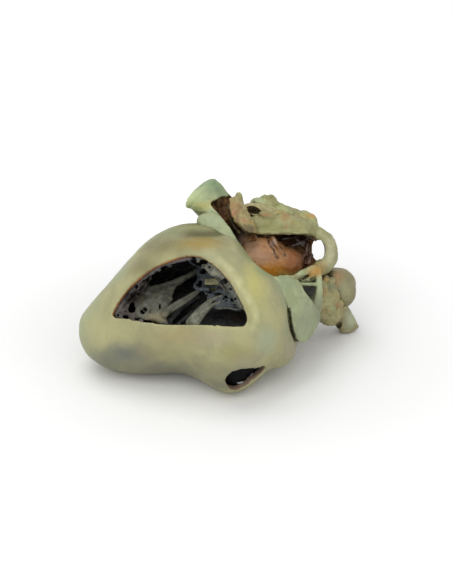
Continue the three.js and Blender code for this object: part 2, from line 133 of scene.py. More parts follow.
# Farther off, the paper glows for the camera until it fades into the tent's white: a painted glow
far_off = weave.vector_math("LENGTH", weave.add("ShaderNodeTexCoord").outputs["Object"]).outputs["Value"]
away = weave.add("ShaderNodeMapRange",
                 {"From Min": 0.055, "From Max": 0.24, "To Max": 0.3, "Value": far_off}).outputs[0]
for socket, value in {
    "Base Color": weave.add("ShaderNodeMix", {0: to_camera, 2: in_light, 3: 0.99}).outputs[0],
    "Roughness": 0.9,
    "Specular IOR Level": 0.1,
    "Emission Color": (1, 1, 1, 1),
    "Emission Strength": weave.math("MULTIPLY", away, to_camera),
}.items():
    weave.feed(value, paper.node_tree.nodes["Principled BSDF"].inputs[socket])
table.data.materials.append(paper)

# Walls of the ventricles
# One thick shell in the real model, made in one go and painted by hand: the outer surface of both
# ventricles, hollowed out on either side of the wall between them, with a window cut into each side.

# Places are drawn in millimetres as the camera sees them: x to the right, y away from it, z up. The
# drawing is then rolled back onto the table
DRAWING_ORIGIN = Vector((-1.285, -0.495, 0.5))
ROLLED = Matrix.Scale(0.001, 4) @ Matrix.Translation(DRAWING_ORIGIN) @ Matrix.Rotation(-TILT, 4, "X")

# From the tip to the base: x, top, bottom, near side and far side of each section
stations = np.array([
    (-63.9, 14, 14, -15, -15),
    (-63.3, 19.6, 8.5, -20, -10),
    (-59.4, 25.2, 2, -27, -3),
    (-51, 34.8, -3.4, -34.5, 4),
    (-41, 46.2, -5.4, -41.5, 8.5),
    (-31, 55.8, -5.8, -48, 11.5),
    (-18, 61.8, -5, -53, 15),
    (-5, 61.8, -6.4, -57.5, 14),
    (5, 57.5, -6.4, -58, 13),
    (14, 51.4, -4.2, -56, 12.5),
    (22, 43.5, 0, -50, 12),
    (28.5, 37, 0.2, -41, 9),
    (33, 29, 3.2, -31, 0),
    (35, 21, 9, -22, -8),
    (35.4, 15, 15, -15, -15),
])
# Swellings and hollows: x, angle round the section from straight down towards the viewer, height,
# reach along x, reach round the section
swellings = [
    (6.8, 24, 8.8, 11, 26),
    (-24, 48, -2.2, 13, 20),
    (-9, 152, -1.8, 15, 9),
    (-14, 130, 1.2, 14, 12),
    (28, 40, 2.2, 6, 26),
    (17.5, 176, -6.8, 5.5, 28),
    (34, 112, -3.4, 3.2, 24),
]
FULLNESS = 2.15


def between(rows, share):
    """Smooth values between the rows of a list, for shares from 0 to 1."""
    rows = np.asarray(rows, float)
    last = len(rows) - 1
    place = np.clip(share, 0, 1) * last
    row = np.minimum(place.astype(int), last - 1)
    part = (place - row)[:, None]
    before, start = rows[np.maximum(row - 1, 0)], rows[row]
    end, after = rows[row + 1], rows[np.minimum(row + 2, last)]
    out, into = (end - before) / 2, (after - start) / 2
    bend = 3 * (end - start) - 2 * out - into + part * (2 * (start - end) + out + into)
    return start + part * (out + part * bend)


def corners_of(piece):
    """The corners of a mesh as an array of places."""
    places = np.empty(len(piece.data.vertices) * 3)
    piece.data.vertices.foreach_get("co", places)
    return places.reshape(-1, 3)


def move_corners(piece, places):
    """Gives a mesh's corners new places."""
    piece.data.vertices.foreach_set("co", np.asarray(places, float).ravel())
    piece.data.update()


def only(piece):
    """Selects one object and makes it the active one."""
    bpy.ops.object.select_all(action="DESELECT")
    piece.select_set(True)
    bpy.context.view_layer.objects.active = piece


def settled(piece):
    """Moves an object's place, turn and size into its mesh."""
    only(piece)
    bpy.ops.object.transform_apply(location=True, rotation=True, scale=True)
    return piece


def facing_out(piece, merge=0.0, sink=0.0):
    """Turns the active mesh's faces outwards, after merging its doubles, and may sink its surface."""
    bpy.ops.object.mode_set(mode="EDIT")
    bpy.ops.mesh.select_all(action="SELECT")
    if merge:
        bpy.ops.mesh.remove_doubles(threshold=merge)
    bpy.ops.mesh.normals_make_consistent(inside=False)
    if sink:
        bpy.ops.transform.shrink_fatten(value=-sink)
    bpy.ops.object.mode_set(mode="OBJECT")
    return piece


def applied(piece, kind, **settings):
    """Gives a piece a modifier with these settings and applies it."""
    change = piece.modifiers.new("change", kind)
    for name, setting in settings.items():
        setattr(change, name, setting)
    only(piece)
    bpy.ops.object.modifier_apply(modifier=change.name)
    return piece


def heart_form(name, depth=0.0, around=96, rings=64):
    """The outer surface of the ventricles, or a like form that lies depth below it."""
    bpy.ops.object.select_all(action="DESELECT")
    bpy.ops.mesh.primitive_uv_sphere_add(segments=around, ring_count=rings, radius=1)
    form = bpy.context.object
    form.name = name
    globe = corners_of(form)
    share = np.arccos(np.clip(-globe[:, 2], -1, 1)) / math.pi
    angle = np.arctan2(globe[:, 1], globe[:, 0])
    x, top, bottom, near, far = between(stations, share).T
    high = np.maximum((top - bottom) / 2, 1e-3)
    deep = np.maximum((far - near) / 2, 1e-3)
    down, towards = np.cos(angle), np.sin(angle)
    reach = ((np.abs(down) / high) ** FULLNESS + (np.abs(towards) / deep) ** FULLNESS) ** (-1 / FULLNESS)
    swell = np.zeros(len(globe))
    for place, turn, height, length, spread in swellings:
        round_by = (np.degrees(angle) - turn + 180) % 360 - 180
        swell += height * np.exp(-0.5 * ((x - place) / length) ** 2 - 0.5 * (round_by / spread) ** 2)
    radius = reach + swell * np.minimum(1, reach / 12)
    move_corners(form, np.column_stack([
        x, (near + far) / 2 - radius * towards, (top + bottom) / 2 - radius * down,
    ]))
    return facing_out(form, sink=depth)


def ball(centre, radii, turn=(0, 0, 0), segments=32):
    """A ball stretched to three radii and turned."""
    bpy.ops.mesh.primitive_uv_sphere_add(
        segments=segments, ring_count=segments // 2, radius=1, location=centre,
        rotation=[math.radians(a) for a in turn],
    )
    form = bpy.context.object
    form.scale = radii
    return settled(form)


def stem(path, radii, flat_ends=False, sides=6):
    """A tube along a smooth path, with round ends unless they are cut flat."""
    steps = 8
    share = np.linspace(0, 1, steps * (len(path) - 1) + 1)
    places = between(path, share)
    widths = between(np.array(radii, float)[:, None], share)[:, 0]
    if not flat_ends:
        for end, step in ((0, 1), (-1, -2)):
            away = places[end] - places[step]
            away /= np.linalg.norm(away)
            caps = [(places[end] + away * widths[end] * math.sin(a), widths[end] * math.cos(a))
                    for a in (0.5, 1.0, 1.4)]
            if end == 0:
                places = np.vstack([[p for p, _ in caps[::-1]], places])
                widths = np.concatenate([[w for _, w in caps[::-1]], widths])
            else:
                places = np.vstack([places, [p for p, _ in caps]])
                widths = np.concatenate([widths, [w for _, w in caps]])
    curve = bpy.data.curves.new("stem", "CURVE")
    curve.dimensions = "3D"
    curve.bevel_depth = 1
    curve.bevel_resolution = sides
    curve.use_fill_caps = True
    line = curve.splines.new("POLY")
    line.points.add(len(places) - 1)
    for point, place, width in zip(line.points, places, widths):
        point.co = (*place, 1)
        point.radius = width
    form = bpy.data.objects.new("stem", curve)
    bpy.context.collection.objects.link(form)
    only(form)
    bpy.ops.object.convert(target="MESH")
    return facing_out(bpy.context.object, merge=0.001)


def cut(piece, tool, operation="DIFFERENCE"):
    """Cuts a tool's form out of a piece, or keeps only what lies in both."""
    applied(piece, "BOOLEAN", object=tool, operation=operation, solver="MANIFOLD")
    bpy.data.objects.remove(tool)
    return piece


def through(outline, near, far, slant=(0, 0), follow=None):
    """A cutter with this outline in x and z, which runs from y = near to y = far.

    Its sides lean by slant. They pass through the outline where it lies on the surface to follow."""
    steps = 6
    in_front_of_all = -200
    where_it_misses = -45
    outline = np.array(list(outline) + [outline[0]], float)
    closed = np.vstack([outline[-2], outline, outline[1]])
    count = steps * (len(outline) - 1)
    line = between(closed, (1 + np.arange(count) / steps) / (len(closed) - 1))
    level = np.full(count, near)
    if follow:
        tree = BVHTree.FromObject(follow, bpy.context.evaluated_depsgraph_get())
        for k, (x, z) in enumerate(line):
            hit = tree.ray_cast(Vector((x, in_front_of_all, z)), Vector((0, 1, 0)))[0]
            level[k] = hit.y if hit else where_it_misses
        level = np.mean([np.roll(level, step) for step in range(-4, 5)], axis=0)

    def lean(y):
        return np.column_stack([slant[0] * (y - level), np.zeros(count), slant[1] * (y - level)])

    bpy.ops.object.select_all(action="DESELECT")
    bpy.ops.mesh.primitive_circle_add(vertices=count, radius=1, fill_type="NGON")
    tool = bpy.context.object
    move_corners(tool, np.column_stack([line[:, 0], np.full(count, near), line[:, 1]]) + lean(near))
    bpy.ops.object.mode_set(mode="EDIT")
    bpy.ops.mesh.select_all(action="SELECT")
    bpy.ops.mesh.extrude_region_move(TRANSFORM_OT_translate={"value": (0, far - near, 0)})
    bpy.ops.object.mode_set(mode="OBJECT")
    facing_out(tool)
    places = corners_of(tool)
    places[count:] += lean(far) - lean(near)
    move_corners(tool, places)
    return tool


def remeshed(piece, grain, smooth=3):
    """Makes one even skin over a piece and smooths it."""
    applied(piece, "REMESH", mode="VOXEL", voxel_size=grain)
    return applied(piece, "SMOOTH", factor=0.5, iterations=smooth)


def roughened(piece, *patterns):
    """Raises and lowers a surface by cloudy patterns, each with a size and a height."""
    for size, height in patterns:
        clouds = bpy.data.textures.new("clouds", "CLOUDS")
        clouds.noise_scale = size
        applied(piece, "DISPLACE", texture=clouds, texture_coords="LOCAL", strength=height, mid_level=0.5)
        bpy.data.textures.remove(clouds)


def distance_to_path(places, path):
    """How far each place is from a line through the path's points."""
    path = np.array(path, float)
    best = np.full(len(places), 1e9)
    for start, end in zip(path[:-1], path[1:]):
        span = end - start
        part = np.clip((places - start) @ span / (span @ span), 0, 1)
        best = np.minimum(best, np.linalg.norm(places - start - part[:, None] * span, axis=1))
    return best


def faded(places, ends):
    """A share that goes down to 0 near each end: x, z and reach."""
    share = 1.0
    for x, z, reach in ends:
        share = share * (1 - np.exp(-(np.hypot(places[:, 0] - x, places[:, 2] - z) / reach) ** 2))
    return share


def scored(piece, path, width, height, flat=False, front=math.inf, ends=()):
    """Raises a ridge along a path on a piece, or presses a groove where height is negative.

    A flat path has only x and z, and marks what faces the viewer in front of y = front."""
    places = corners_of(piece)
    normals = np.empty(len(places) * 3)
    piece.data.vertices.foreach_get("normal", normals)
    normals = normals.reshape(-1, 3)
    if flat:
        far_off = distance_to_path(places[:, [0, 2]], path)
        facing = np.clip(-normals[:, 1] * 3, 0, 1) * (places[:, 1] < front)
    else:
        far_off = distance_to_path(places, path)
        facing = 1.0
    rise = height * np.exp(-((far_off / width) ** 2)) * facing * faded(places, ends)
    move_corners(piece, places + normals * rise[:, None])


RIGHT_WALL = 2.6
LEFT_WALL = 3.4
LINING = 1.2
SEPTUM = 4.5


def cone(grow=0.0):
    """The form under the wall between the ventricles."""
    return ball((-5, -12, 5), (74 + grow, 55 + grow, 24 + grow), (25, 0, 0), 96)


right_window = [
    (-47.7, 21.1), (-44.3, 27.8), (-39.8, 33.6), (-33.2, 39.2), (-25.8, 43.4), (-18.4, 46.1), (-12.6, 47.1),
    (-7.5, 46.1), (-3.2, 43.2), (1, 39.3), (5, 34.5), (8.4, 28.2), (10.9, 22.5), (11.4, 18.9), (9.4, 16.6),
    (1, 16.6), (-12.3, 17.4), (-23, 17.3), (-34, 18.4), (-42, 19.8),
]
# Corners round the heart's form and rings along it, where 96 and 64 don't suit
FINE = 144, 96
COARSE = 80, 54
surface = heart_form("surface", 0, *FINE)
walls = heart_form("ventricle_walls", 0, *FINE)
right_room = cut(heart_form("right_room", RIGHT_WALL), cone())
left_room = cut(heart_form("left_room", LEFT_WALL), cone(-SEPTUM), "INTERSECT")

# Planes on the viewer's side, clear of the ventricles and of the base, where the cutters start
IN_FRONT = -75
BEFORE_BASE = -60
right_cutter = through(right_window, IN_FRONT, -33, slant=(0.4, -0.42), follow=surface)
left_window = [
    (2.5, -6.8), (4.9, -3.6), (8.6, -2.4), (12, -2.0), (16, -1.8), (19.9, -1.6), (19, -4.2), (16.8, -8.6),
    (13.5, -12.2), (9.2, -13.2), (5.2, -11.8), (3.2, -9.4),
]
left_cutter = through(left_window, IN_FRONT, -30, slant=(-0.3, 0.42), follow=surface)
cut(walls, right_room)
cut(walls, left_room)
cut(walls, right_cutter)
cut(walls, left_cutter)
remeshed(walls, 0.81, smooth=2)


def stored(piece, name, values):
    """Stores a value at each corner of a mesh."""
    layer = piece.data.attributes.new(name, "FLOAT", "POINT")
    layer.data.foreach_set("value", np.asarray(values, np.float32))


outer = BVHTree.FromObject(surface, bpy.context.evaluated_depsgraph_get())
below = []
for place in corners_of(walls):
    spot, normal, _, away = outer.find_nearest(Vector(place))
    below.append(away if (Vector(place) - spot).dot(normal) < 0 else 0.0)
stored(walls, "depth", below)
bpy.data.objects.remove(surface)

# The lip on the base's side of the window, the crease under the crest and gentle dents all over
lip = [(-9, 50.6), (-3, 47.4), (2.6, 43), (8, 36.4), (12.6, 28.8), (15.6, 22.6), (16, 18.4), (13.4, 15),
       (8, 14.6)]
under_crest = [(-21, 54.4), (-17, 56.4), (-12, 57.4), (-6, 57.6), (-2, 57.8), (1, 58.4)]
beside_flap = [(31, 24), (31, 21), (31.5, 17.7), (32.3, 14), (34.5, 9.4)]
# What lies in front of this plane faces the viewer
NEAR_SIDE = -22


def marked(piece, name, path, width, ends=()):
    """Stores a value that is 1 along a path in x and z on the side towards the viewer."""
    places = corners_of(piece)
    line = np.exp(-(distance_to_path(places[:, [0, 2]], path) / width) ** 2)
    stored(piece, name, line * np.clip((NEAR_SIDE - places[:, 1]) / 4, 0, 1) * faded(places, ends))


lip_ends = ((-9, 50.6, 9), (8, 14.6, 7))
# Lines where the finish paints shade (under the crest, beside the flap, in the valley) and a highlight (along
# the lip)
marked(walls, "shade", under_crest, 2.2, ((-21, 54.4, 7),))
marked(walls, "seam", beside_flap, 0.75, ((31, 24, 4.6),))
marked(walls, "lip", lip, 1.9, lip_ends)
marked(walls, "valley", [(-6, 44), (0.6, 41), (5.4, 35), (9.6, 28.2), (12.4, 22.6), (12.8, 19)], 1.3,
       ((-6, 44, 4),))
scored(walls, lip, 1.7, 0.8, flat=True, ends=lip_ends)
scored(walls, [(1, 41.2), (5.6, 34.8), (9.8, 28.1), (12.6, 22.6)], 1.3, -0.45, flat=True)
scored(walls, under_crest, 1.9, -1.0, flat=True, front=NEAR_SIDE, ends=((-21, 54.4, 8),))
scored(walls, [(-16, 52), (-8, 52.6), (-2, 51)], 2.6, 0.6, flat=True)
scored(walls, beside_flap, 0.9, -1.0, flat=True)
roughened(walls, (9, 0.45), (2.2, 0.12))


def tone(red, green, blue):
    """A colour picked on a screen from 0 to 255, as the light it sends back."""
    return tuple((c / 255 / 12.92) if c <= 10 else ((c / 255 + 0.055) / 1.055) ** 2.4
                 for c in (red, green, blue)) + (1,)


class Finish(Nodes):
    """A painted finish in the making. Places are in the drawing's millimetres."""

    def __init__(self, name, roughness, gloss=0.4):
        self.material = bpy.data.materials.new(name)
        self.material.use_nodes = True
        super().__init__(self.material.node_tree)
        self.sockets = self.tree.nodes["Principled BSDF"].inputs
        self.feed(gloss, self.sockets["Specular IOR Level"])
        self.feed(roughness, self.sockets["Roughness"])
        self.place = self.add("ShaderNodeMapping", {
            "Vector": self.add("ShaderNodeTexCoord").outputs["Object"],
            "Location": -(Matrix.Rotation(TILT, 3, "X") @ DRAWING_ORIGIN),
            "Rotation": (TILT, 0, 0),
            "Scale": (1000, 1000, 1000),
        }).outputs["Vector"]

    def times(self, first, second):
        return self.math("MULTIPLY", first, second)

    def spread(self, value, low, high, to_low=0.0, to_high=1.0, smooth=True):
        """A value between low and high, spread over another range and held inside it."""
        return self.add("ShaderNodeMapRange", {
            "Value": value, "From Min": low, "From Max": high, "To Min": to_low, "To Max": to_high,
        }, interpolation_type="SMOOTHSTEP" if smooth else "LINEAR").outputs[0]

    def noise(self, size, detail, warp=0.0, place=None):
        """A cloudy value between 0 and 1, whose clouds are about size millimetres wide."""
        return self.add("ShaderNodeTexNoise", {
            "Vector": place or self.place, "Scale": 1 / size, "Detail": detail, "Distortion": warp,
        }).outputs["Fac"]

    def clouds(self, size, detail, low, high, to_low=0.0, to_high=1.0, warp=0.0):
        """Noise, spread over a range."""
        return self.spread(self.noise(size, detail, warp), low, high, to_low, to_high)

    def mix(self, share, first, second):
        """Two colours mixed."""
        return self.add("ShaderNodeMix", {0: share, 6: first, 7: second}, data_type="RGBA").outputs[2]

    def measured(self, name):
        """A value that is stored at each corner of the mesh."""
        return self.add("ShaderNodeAttribute", attribute_name=name).outputs["Fac"]

    def spray(self, colour, spots):
        """Sprays soft spots over a colour: x, y, z, three reaches, the spot's colour and its strength."""
        reach = 6
        bent = self.add("ShaderNodeTexNoise",
                        {"Scale": 0.14, "Detail": 2, "Vector": self.place}).outputs["Color"]
        wander = self.vector_math("MULTIPLY_ADD", bent, (reach,) * 3, self.place).outputs[0]
        for x, y, z, wide, deep, high, spot, strength in spots:
            middle = (x + reach / 2, y + reach / 2, z + reach / 2)
            off = self.vector_math("SUBTRACT", wander, middle).outputs[0]
            shape = self.vector_math("DIVIDE", off, (wide, deep, high)).outputs[0]
            far_off = self.vector_math("LENGTH", shape).outputs["Value"]
            colour = self.mix(self.spread(far_off, 0.15, 1.25, strength, 0.0), colour, tone(*spot))
        return colour

    def bump(self, height, strength, distance):
        """Fine relief on the surface."""
        relief = self.add("ShaderNodeBump", {"Height": height, "Strength": strength, "Distance": distance})
        self.feed(relief.outputs[0], self.sockets["Normal"])

    def coat(self, colour):
        """The finished material."""
        self.feed(colour, self.sockets["Base Color"])
        return self.material


def painted(name, light, dark, spots=(), crease=(58, 50, 32), mottle=7.0, roughness=0.5,
            crease_at=(0.25, 0.62)):
    """Hand-painted print: two tones that drift into each other, sprayed spots and painted shade in the
    creases.
    """
    finish = Finish(name, roughness)
    colour = finish.mix(finish.clouds(mottle, 3, 0.36, 0.64, warp=0.6), tone(*light), tone(*dark))
    colour = finish.spray(colour, spots)
    colour = finish.mix(finish.clouds(1.1, 3, 0.3, 0.7, 0.0, 0.12), colour, tone(*[c * 0.75 for c in dark]))
    # Painted shade in the creases, where little sky is open
    painted_shade = finish.spread(finish.measured("open"), *crease_at, 0.85, 0.0)
    colour = finish.mix(finish.times(painted_shade, finish.clouds(2.6, 3, 0.3, 0.6, 0.6, 1.0)), colour, tone(*crease))
    line = finish.spread(finish.measured("shade"), 0.15, 0.8)
    line = finish.times(line, finish.clouds(1.7, 3, 0.36, 0.56, 0.25, 0.95))
    colour = finish.mix(line, colour, tone(*[c * 0.8 for c in crease]))
    # Reflections dimmed in the hollows as painted shade
    finish.feed(finish.spread(finish.measured("open"), 0.1, 0.5, 0.04, 0.4),
                finish.sockets["Specular IOR Level"])
    finish.feed(finish.clouds(2.0, 2, 0.3, 0.7, roughness - 0.07, roughness + 0.1),
                finish.sockets["Roughness"])
    finish.bump(finish.noise(0.55, 3), 0.35, 0.00012)
    return finish.coat(colour)


def wall_finish():
    """Outside of the walls, their cut edges and their dark inner side."""
    finish = Finish("hand_painted_wall", 0.5)
    drift = finish.clouds(13, 3, 0.35, 0.65, warp=0.8)
    colour = finish.mix(drift, tone(176, 172, 126), tone(160, 158, 118))
    colour = finish.spray(colour, [
        # Left end and shoulder, cool and pale, partly painted rim light; below them the underside darker,
        # partly painted shade
        (-60, -18, 18, 12, 22, 26, (174, 180, 140), 0.75),
        (-48, -18, 41, 14, 24, 9, (158, 168, 134), 0.85),
        (-28, -14, 57, 18, 24, 7, (144, 154, 122), 0.85),
        (-50, -34, 14, 15, 16, 9, (186, 180, 132), 0.7),
        (-52, -28, -1, 16, 26, 7, (118, 122, 108), 0.75),
        (-41, -38, 4, 17, 16, 6, (104, 109, 104), 0.85),
        (-26, -34, -4, 24, 26, 6, (116, 116, 102), 0.8),
        # Over the window: olive with a yellow stain, darker on the top and under the crest as painted shade
        (-17, -38, 51, 20, 16, 8, (118, 110, 66), 0.9),
        (-33, -40, 42, 13, 14, 7, (126, 120, 80), 0.8),
        (-29, -32, 51, 10, 12, 6, (128, 122, 84), 0.8),
        (-15, -20, 62, 18, 14, 4, (124, 126, 76), 0.85),
        (10, -38, 43.7, 5, 12, 6, (138, 138, 88), 0.8),
        (-22, -34, 58, 14, 16, 3, (126, 132, 92), 0.7),
        (-10, -24, 62, 14, 18, 4, (122, 126, 80), 0.85),
        (10, -30, 50, 6, 14, 6, (128, 134, 84), 0.6),
        (-10, -41, 57, 10, 12, 2.8, (112, 108, 68), 0.75),
        (-8, -45, 52.6, 12, 14, 4.2, (148, 124, 52), 0.9),
        # Under the window: tan and pink, darker towards the bottom, partly as painted shade
        (-18, -50, 12, 22, 14, 5, (172, 158, 114), 0.75),
        (-4, -52, 11.5, 10, 14, 5, (170, 160, 132), 0.75),
        (-28, -46, 4, 16, 14, 6, (156, 148, 108), 0.7),
        (7, -54, 5, 9, 12, 5, (152, 146, 94), 0.7),
        (6, -52, -4, 18, 16, 6, (128, 126, 102), 0.75),
        (-13, -50, 0, 9, 14, 5, (138, 132, 104), 0.7),
        (0, -44, -10, 9, 12, 4, (118, 120, 100), 0.85),
        (13, -50, 2, 8, 14, 5, (158, 150, 124), 0.6),
        # Base's side of the window: yellow, then green along the slit
        (15, -48, 33, 7, 14, 16, (198, 192, 116), 0.85),
        (20, -44, 22, 8, 14, 12, (190, 186, 134), 0.7),
        (12.5, -36, 48.5, 4.4, 14, 6, (138, 144, 98), 0.8),
        (19, -36, 40, 6, 14, 5, (138, 154, 114), 0.8),
        (27, -30, 35, 7, 16, 5, (146, 160, 124), 0.8),
        (29, -34, 30, 5, 12, 9, (150, 160, 126), 0.85),
        (20, -48, 10.5, 7, 14, 8, (172, 180, 148), 0.75),
        (31, -34, 12, 6, 14, 10, (150, 152, 122), 0.65),
        (32, -30, 5, 6, 12, 5, (172, 158, 134), 0.6),
        # Far side, and the underside darker, partly as painted shade
        (-10, 12, 30, 44, 10, 30, (160, 164, 128), 0.6),
        (-30, 8, 20, 16, 12, 12, (168, 156, 112), 0.6),
        (8, 12, 18, 14, 10, 12, (144, 150, 116), 0.6),
        (-10, -10, -7, 50, 40, 6, (128, 126, 104), 0.7),
    ])
    colour = finish.mix(finish.clouds(1.3, 3, 0.3, 0.7, 0.0, 0.1), colour, tone(128, 122, 88))
    # A paler line along the lip: a painted highlight on its ridge
    pale = finish.times(finish.spread(finish.measured("lip"), 0.05, 0.95),
                        finish.clouds(5, 3, 0.35, 0.62, 0.15, 0.6))
    colour = finish.mix(pale, colour, tone(206, 203, 154))
    # Painted shade in the valley beside the lip and in the crease under the crest
    for line, low, strength, painted_shade in (("valley", 0.2, 0.45, (154, 146, 100)),
                                       ("shade", 0.05, 0.85, (84, 82, 50))):
        colour = finish.mix(finish.spread(finish.measured(line), low, 1.0, 0.0, strength), colour,
                            tone(*painted_shade))
    # A dark line beside the flap: painted shade in the crease between flap and wall
    seam_shade = finish.times(finish.spread(finish.measured("seam"), 0.15, 0.9),
                        finish.clouds(1.2, 3, 0.3, 0.6, 0.5, 1.0))
    colour = finish.mix(seam_shade, colour, tone(54, 44, 28))
    # Painted shade in the hollows, where little of the sky is open
    nook = finish.times(finish.spread(finish.measured("open"), 0.05, 0.3, 0.7, 0.0),
                        finish.clouds(1.8, 3, 0.35, 0.6, 0.5, 1.0))
    colour = finish.mix(nook, colour, tone(52, 42, 28))
    rough_edge = finish.spread(finish.noise(1.0, 3), 0.3, 0.7, -0.5, 0.5, smooth=False)
    depth = finish.math("ADD", finish.measured("depth"), rough_edge)
    cut_face = finish.spray(finish.mix(drift, tone(176, 124, 70), tone(140, 96, 62)), [
        (12, -50, -7, 30, 40, 16, (168, 144, 124), 1.0),
        (12, -50, -7, 30, 40, 16, (168, 144, 124), 1.0),
        (9, -46, 28, 11, 26, 22, (176, 170, 130), 1.0),
        (-10, -46, 15, 44, 26, 5, (168, 156, 112), 1.0),
    ])
    colour = finish.mix(finish.spread(depth, 0.45, 0.8), colour, cut_face)
    inner = finish.mix(finish.clouds(1.1, 3, 0.42, 0.6), tone(34, 32, 30), tone(120, 114, 106))
    # The cut face is 1 mm deeper on the lower side, where the wall is thicker
    drawn_z = finish.add("ShaderNodeSeparateXYZ", {0: finish.place}).outputs["Z"]
    thicker = finish.spread(finish.spread(drawn_z, -4, 4), 0, 1, 1.0, 0.0)
    colour = finish.mix(finish.spread(finish.math("SUBTRACT", depth, thicker), 2.0, 2.5), colour, inner)
    finish.feed(finish.clouds(3.0, 2, 0.3, 0.7, 0.46, 0.62), finish.sockets["Roughness"])
    finish.bump(finish.noise(0.6, 3), 0.3, 0.00012)
    return finish.coat(colour)


pieces = []


def placed(piece, name, finish, slot, *nodes):
    """Rolls a finished piece onto the table, in metres, and ties it to the nodes it stands for."""
    piece.name = name
    piece.data.name = name
    settled(piece)
    piece.data.transform(ROLLED)
    places = corners_of(piece)
    places[:, 2] = np.maximum(places[:, 2], 0)
    move_corners(piece, places)
    piece.data.materials.clear()
    piece.data.materials.append(finish)
    only(piece)
    bpy.ops.object.shade_smooth()
    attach(piece, "root")
    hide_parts(*(nodes or [name]))
    pieces.append(piece)


def in_walls(piece, depth=2.7):
    """Keeps what lies inside the ventricles' walls, and cuts off the rest."""
    return cut(piece, heart_form("limit", depth), "INTERSECT")


def sheet(rows, thickness):
    """A bent sheet that is drawn through rows of points."""
    rows = np.array(rows, float)
    steps = 6
    high, wide = steps * (len(rows) - 1), steps * (len(rows[0]) - 1)
    bpy.ops.object.select_all(action="DESELECT")
    bpy.ops.mesh.primitive_grid_add(x_subdivisions=wide, y_subdivisions=high, size=2)
    form = bpy.context.object
    flat = corners_of(form)
    up = between(rows.reshape(len(rows), -1), (flat[:, 1] + 1) / 2)
    share = (flat[:, 0] + 1) / 2
    places = np.empty((len(flat), 3))
    for k, row in enumerate(up.reshape(-1, len(rows[0]), 3)):
        places[k] = between(row, share[k:k + 1])[0]
    move_corners(form, places)
    return facing_out(applied(form, "SOLIDIFY", thickness=thickness, offset=0))


def joined(forms):
    """Makes several objects one."""
    only(forms[0])
    for form in forms[1:]:
        form.select_set(True)
    if len(forms) > 1:
        bpy.ops.object.join()
    return bpy.context.object


def holes(*places):
    """Several egg-shaped cutters in one: x, y, z and their half widths in x and z."""
    return joined([ball((x, y, z), (wide, 11, high), segments=16) for x, y, z, wide, high in places])


def lumps(*sizes):
    """Several balls: x, y, z, their three radii and, for a turned one, its three turns."""
    return [ball(size[:3], size[3:6], size[6:] or (0, 0, 0)) for size in sizes]


def clay(forms, grain=0.5, smooth=4):
    """Several forms pressed into one body."""
    return remeshed(joined(forms), grain, smooth)


placed(walls, "ventricle_walls", wall_finish(), "heart_wall", "right_ventricle_wall", "left_ventricle_wall")

# Lining of the right ventricle
# A thin dark skin inside the right ventricle, over the outer wall and over the wall between the
# ventricles. Its lower side carries the flat muscle sheets that show grey in the window.
lining = heart_form("lining", RIGHT_WALL + 0.1)
cut(lining, cone())
cut(lining, cut(heart_form("hollow", RIGHT_WALL + LINING), cone(LINING)))
window_over_cone = cut(through(right_window, IN_FRONT, -33), cone(LINING))
cut(lining, window_over_cone)
sheets = [
    stem([(-25, -45, 15), (-22, -41, 19), (-17, -36, 24), (-9, -31, 29)], [2.2, 2, 1.6, 1.2]),
    stem([(-20, -44, 15), (-15, -40, 20), (-9, -36, 25)], [1.2, 1.2, 1]),
    stem([(-24, -20, 42), (-14, -16, 46), (-4, -18, 47)], [1.2, 1.6, 1.4]),
]
clay([lining] + sheets, 0.6, 2)
roughened(lining, (2.4, 1.0), (0.9, 0.4))


def chamber_finish(name, light, dark, stains_and_shade=(), lit_at=(0.3, 0.75), gloss=0.3):
    """Dark cast skin whose ridges are rubbed grey, with streaks along the muscles and pale flecks.

    The grey on the open ridges is partly painted light, and the dark in the hollows is painted shade.
    """
    finish = Finish(name, 0.6, gloss)
    grain = Vector((0.66, 0.42, 0.62)).to_track_quat("X", "Z").to_euler()
    along = finish.add("ShaderNodeMapping", {"Vector": finish.place, "Rotation": grain, "Scale": (7, 1, 1)},
                       vector_type="TEXTURE").outputs["Vector"]
    streaks = finish.noise(0.8, 3, place=along)
    ridge = finish.spread(finish.measured("open"), *lit_at)
    broken = finish.times(finish.times(ridge, finish.clouds(3.2, 3, 0.34, 0.62, 0.55, 1.0)),
                          finish.spread(streaks, 0.36, 0.6, 0.64, 1.0))
    colour = finish.spray(finish.mix(broken, tone(*dark), tone(*light)), stains_and_shade)
    fleck = finish.times(finish.clouds(1.0, 2, 0.56, 0.7, 0.0, 0.22), ridge)
    colour = finish.mix(fleck, colour, tone(*[min(255, c * 1.3) for c in light]))
    finish.bump(streaks, 0.35, 0.0003)
    return finish.coat(colour)


in_walls(lining, 1.8)
placed(lining, "right_chamber_lining", chamber_finish("dark_lining", (74, 76, 72), (14, 14, 14), [
    (-36, -30, 30, 7, 14, 8, (70, 62, 48), 0.6),
    (-2, -42, 21, 8, 14, 4, (34, 35, 38), 0.8),
    (7, -42, 20, 4, 14, 4, (62, 44, 38), 0.8),
    # Black deep in the chamber, away from the window: painted shade
    (-16, -14, 42, 18, 16, 8, (8, 8, 8), 0.9),
], gloss=0.15), "chamber_lining", "right_ventricle_lining")

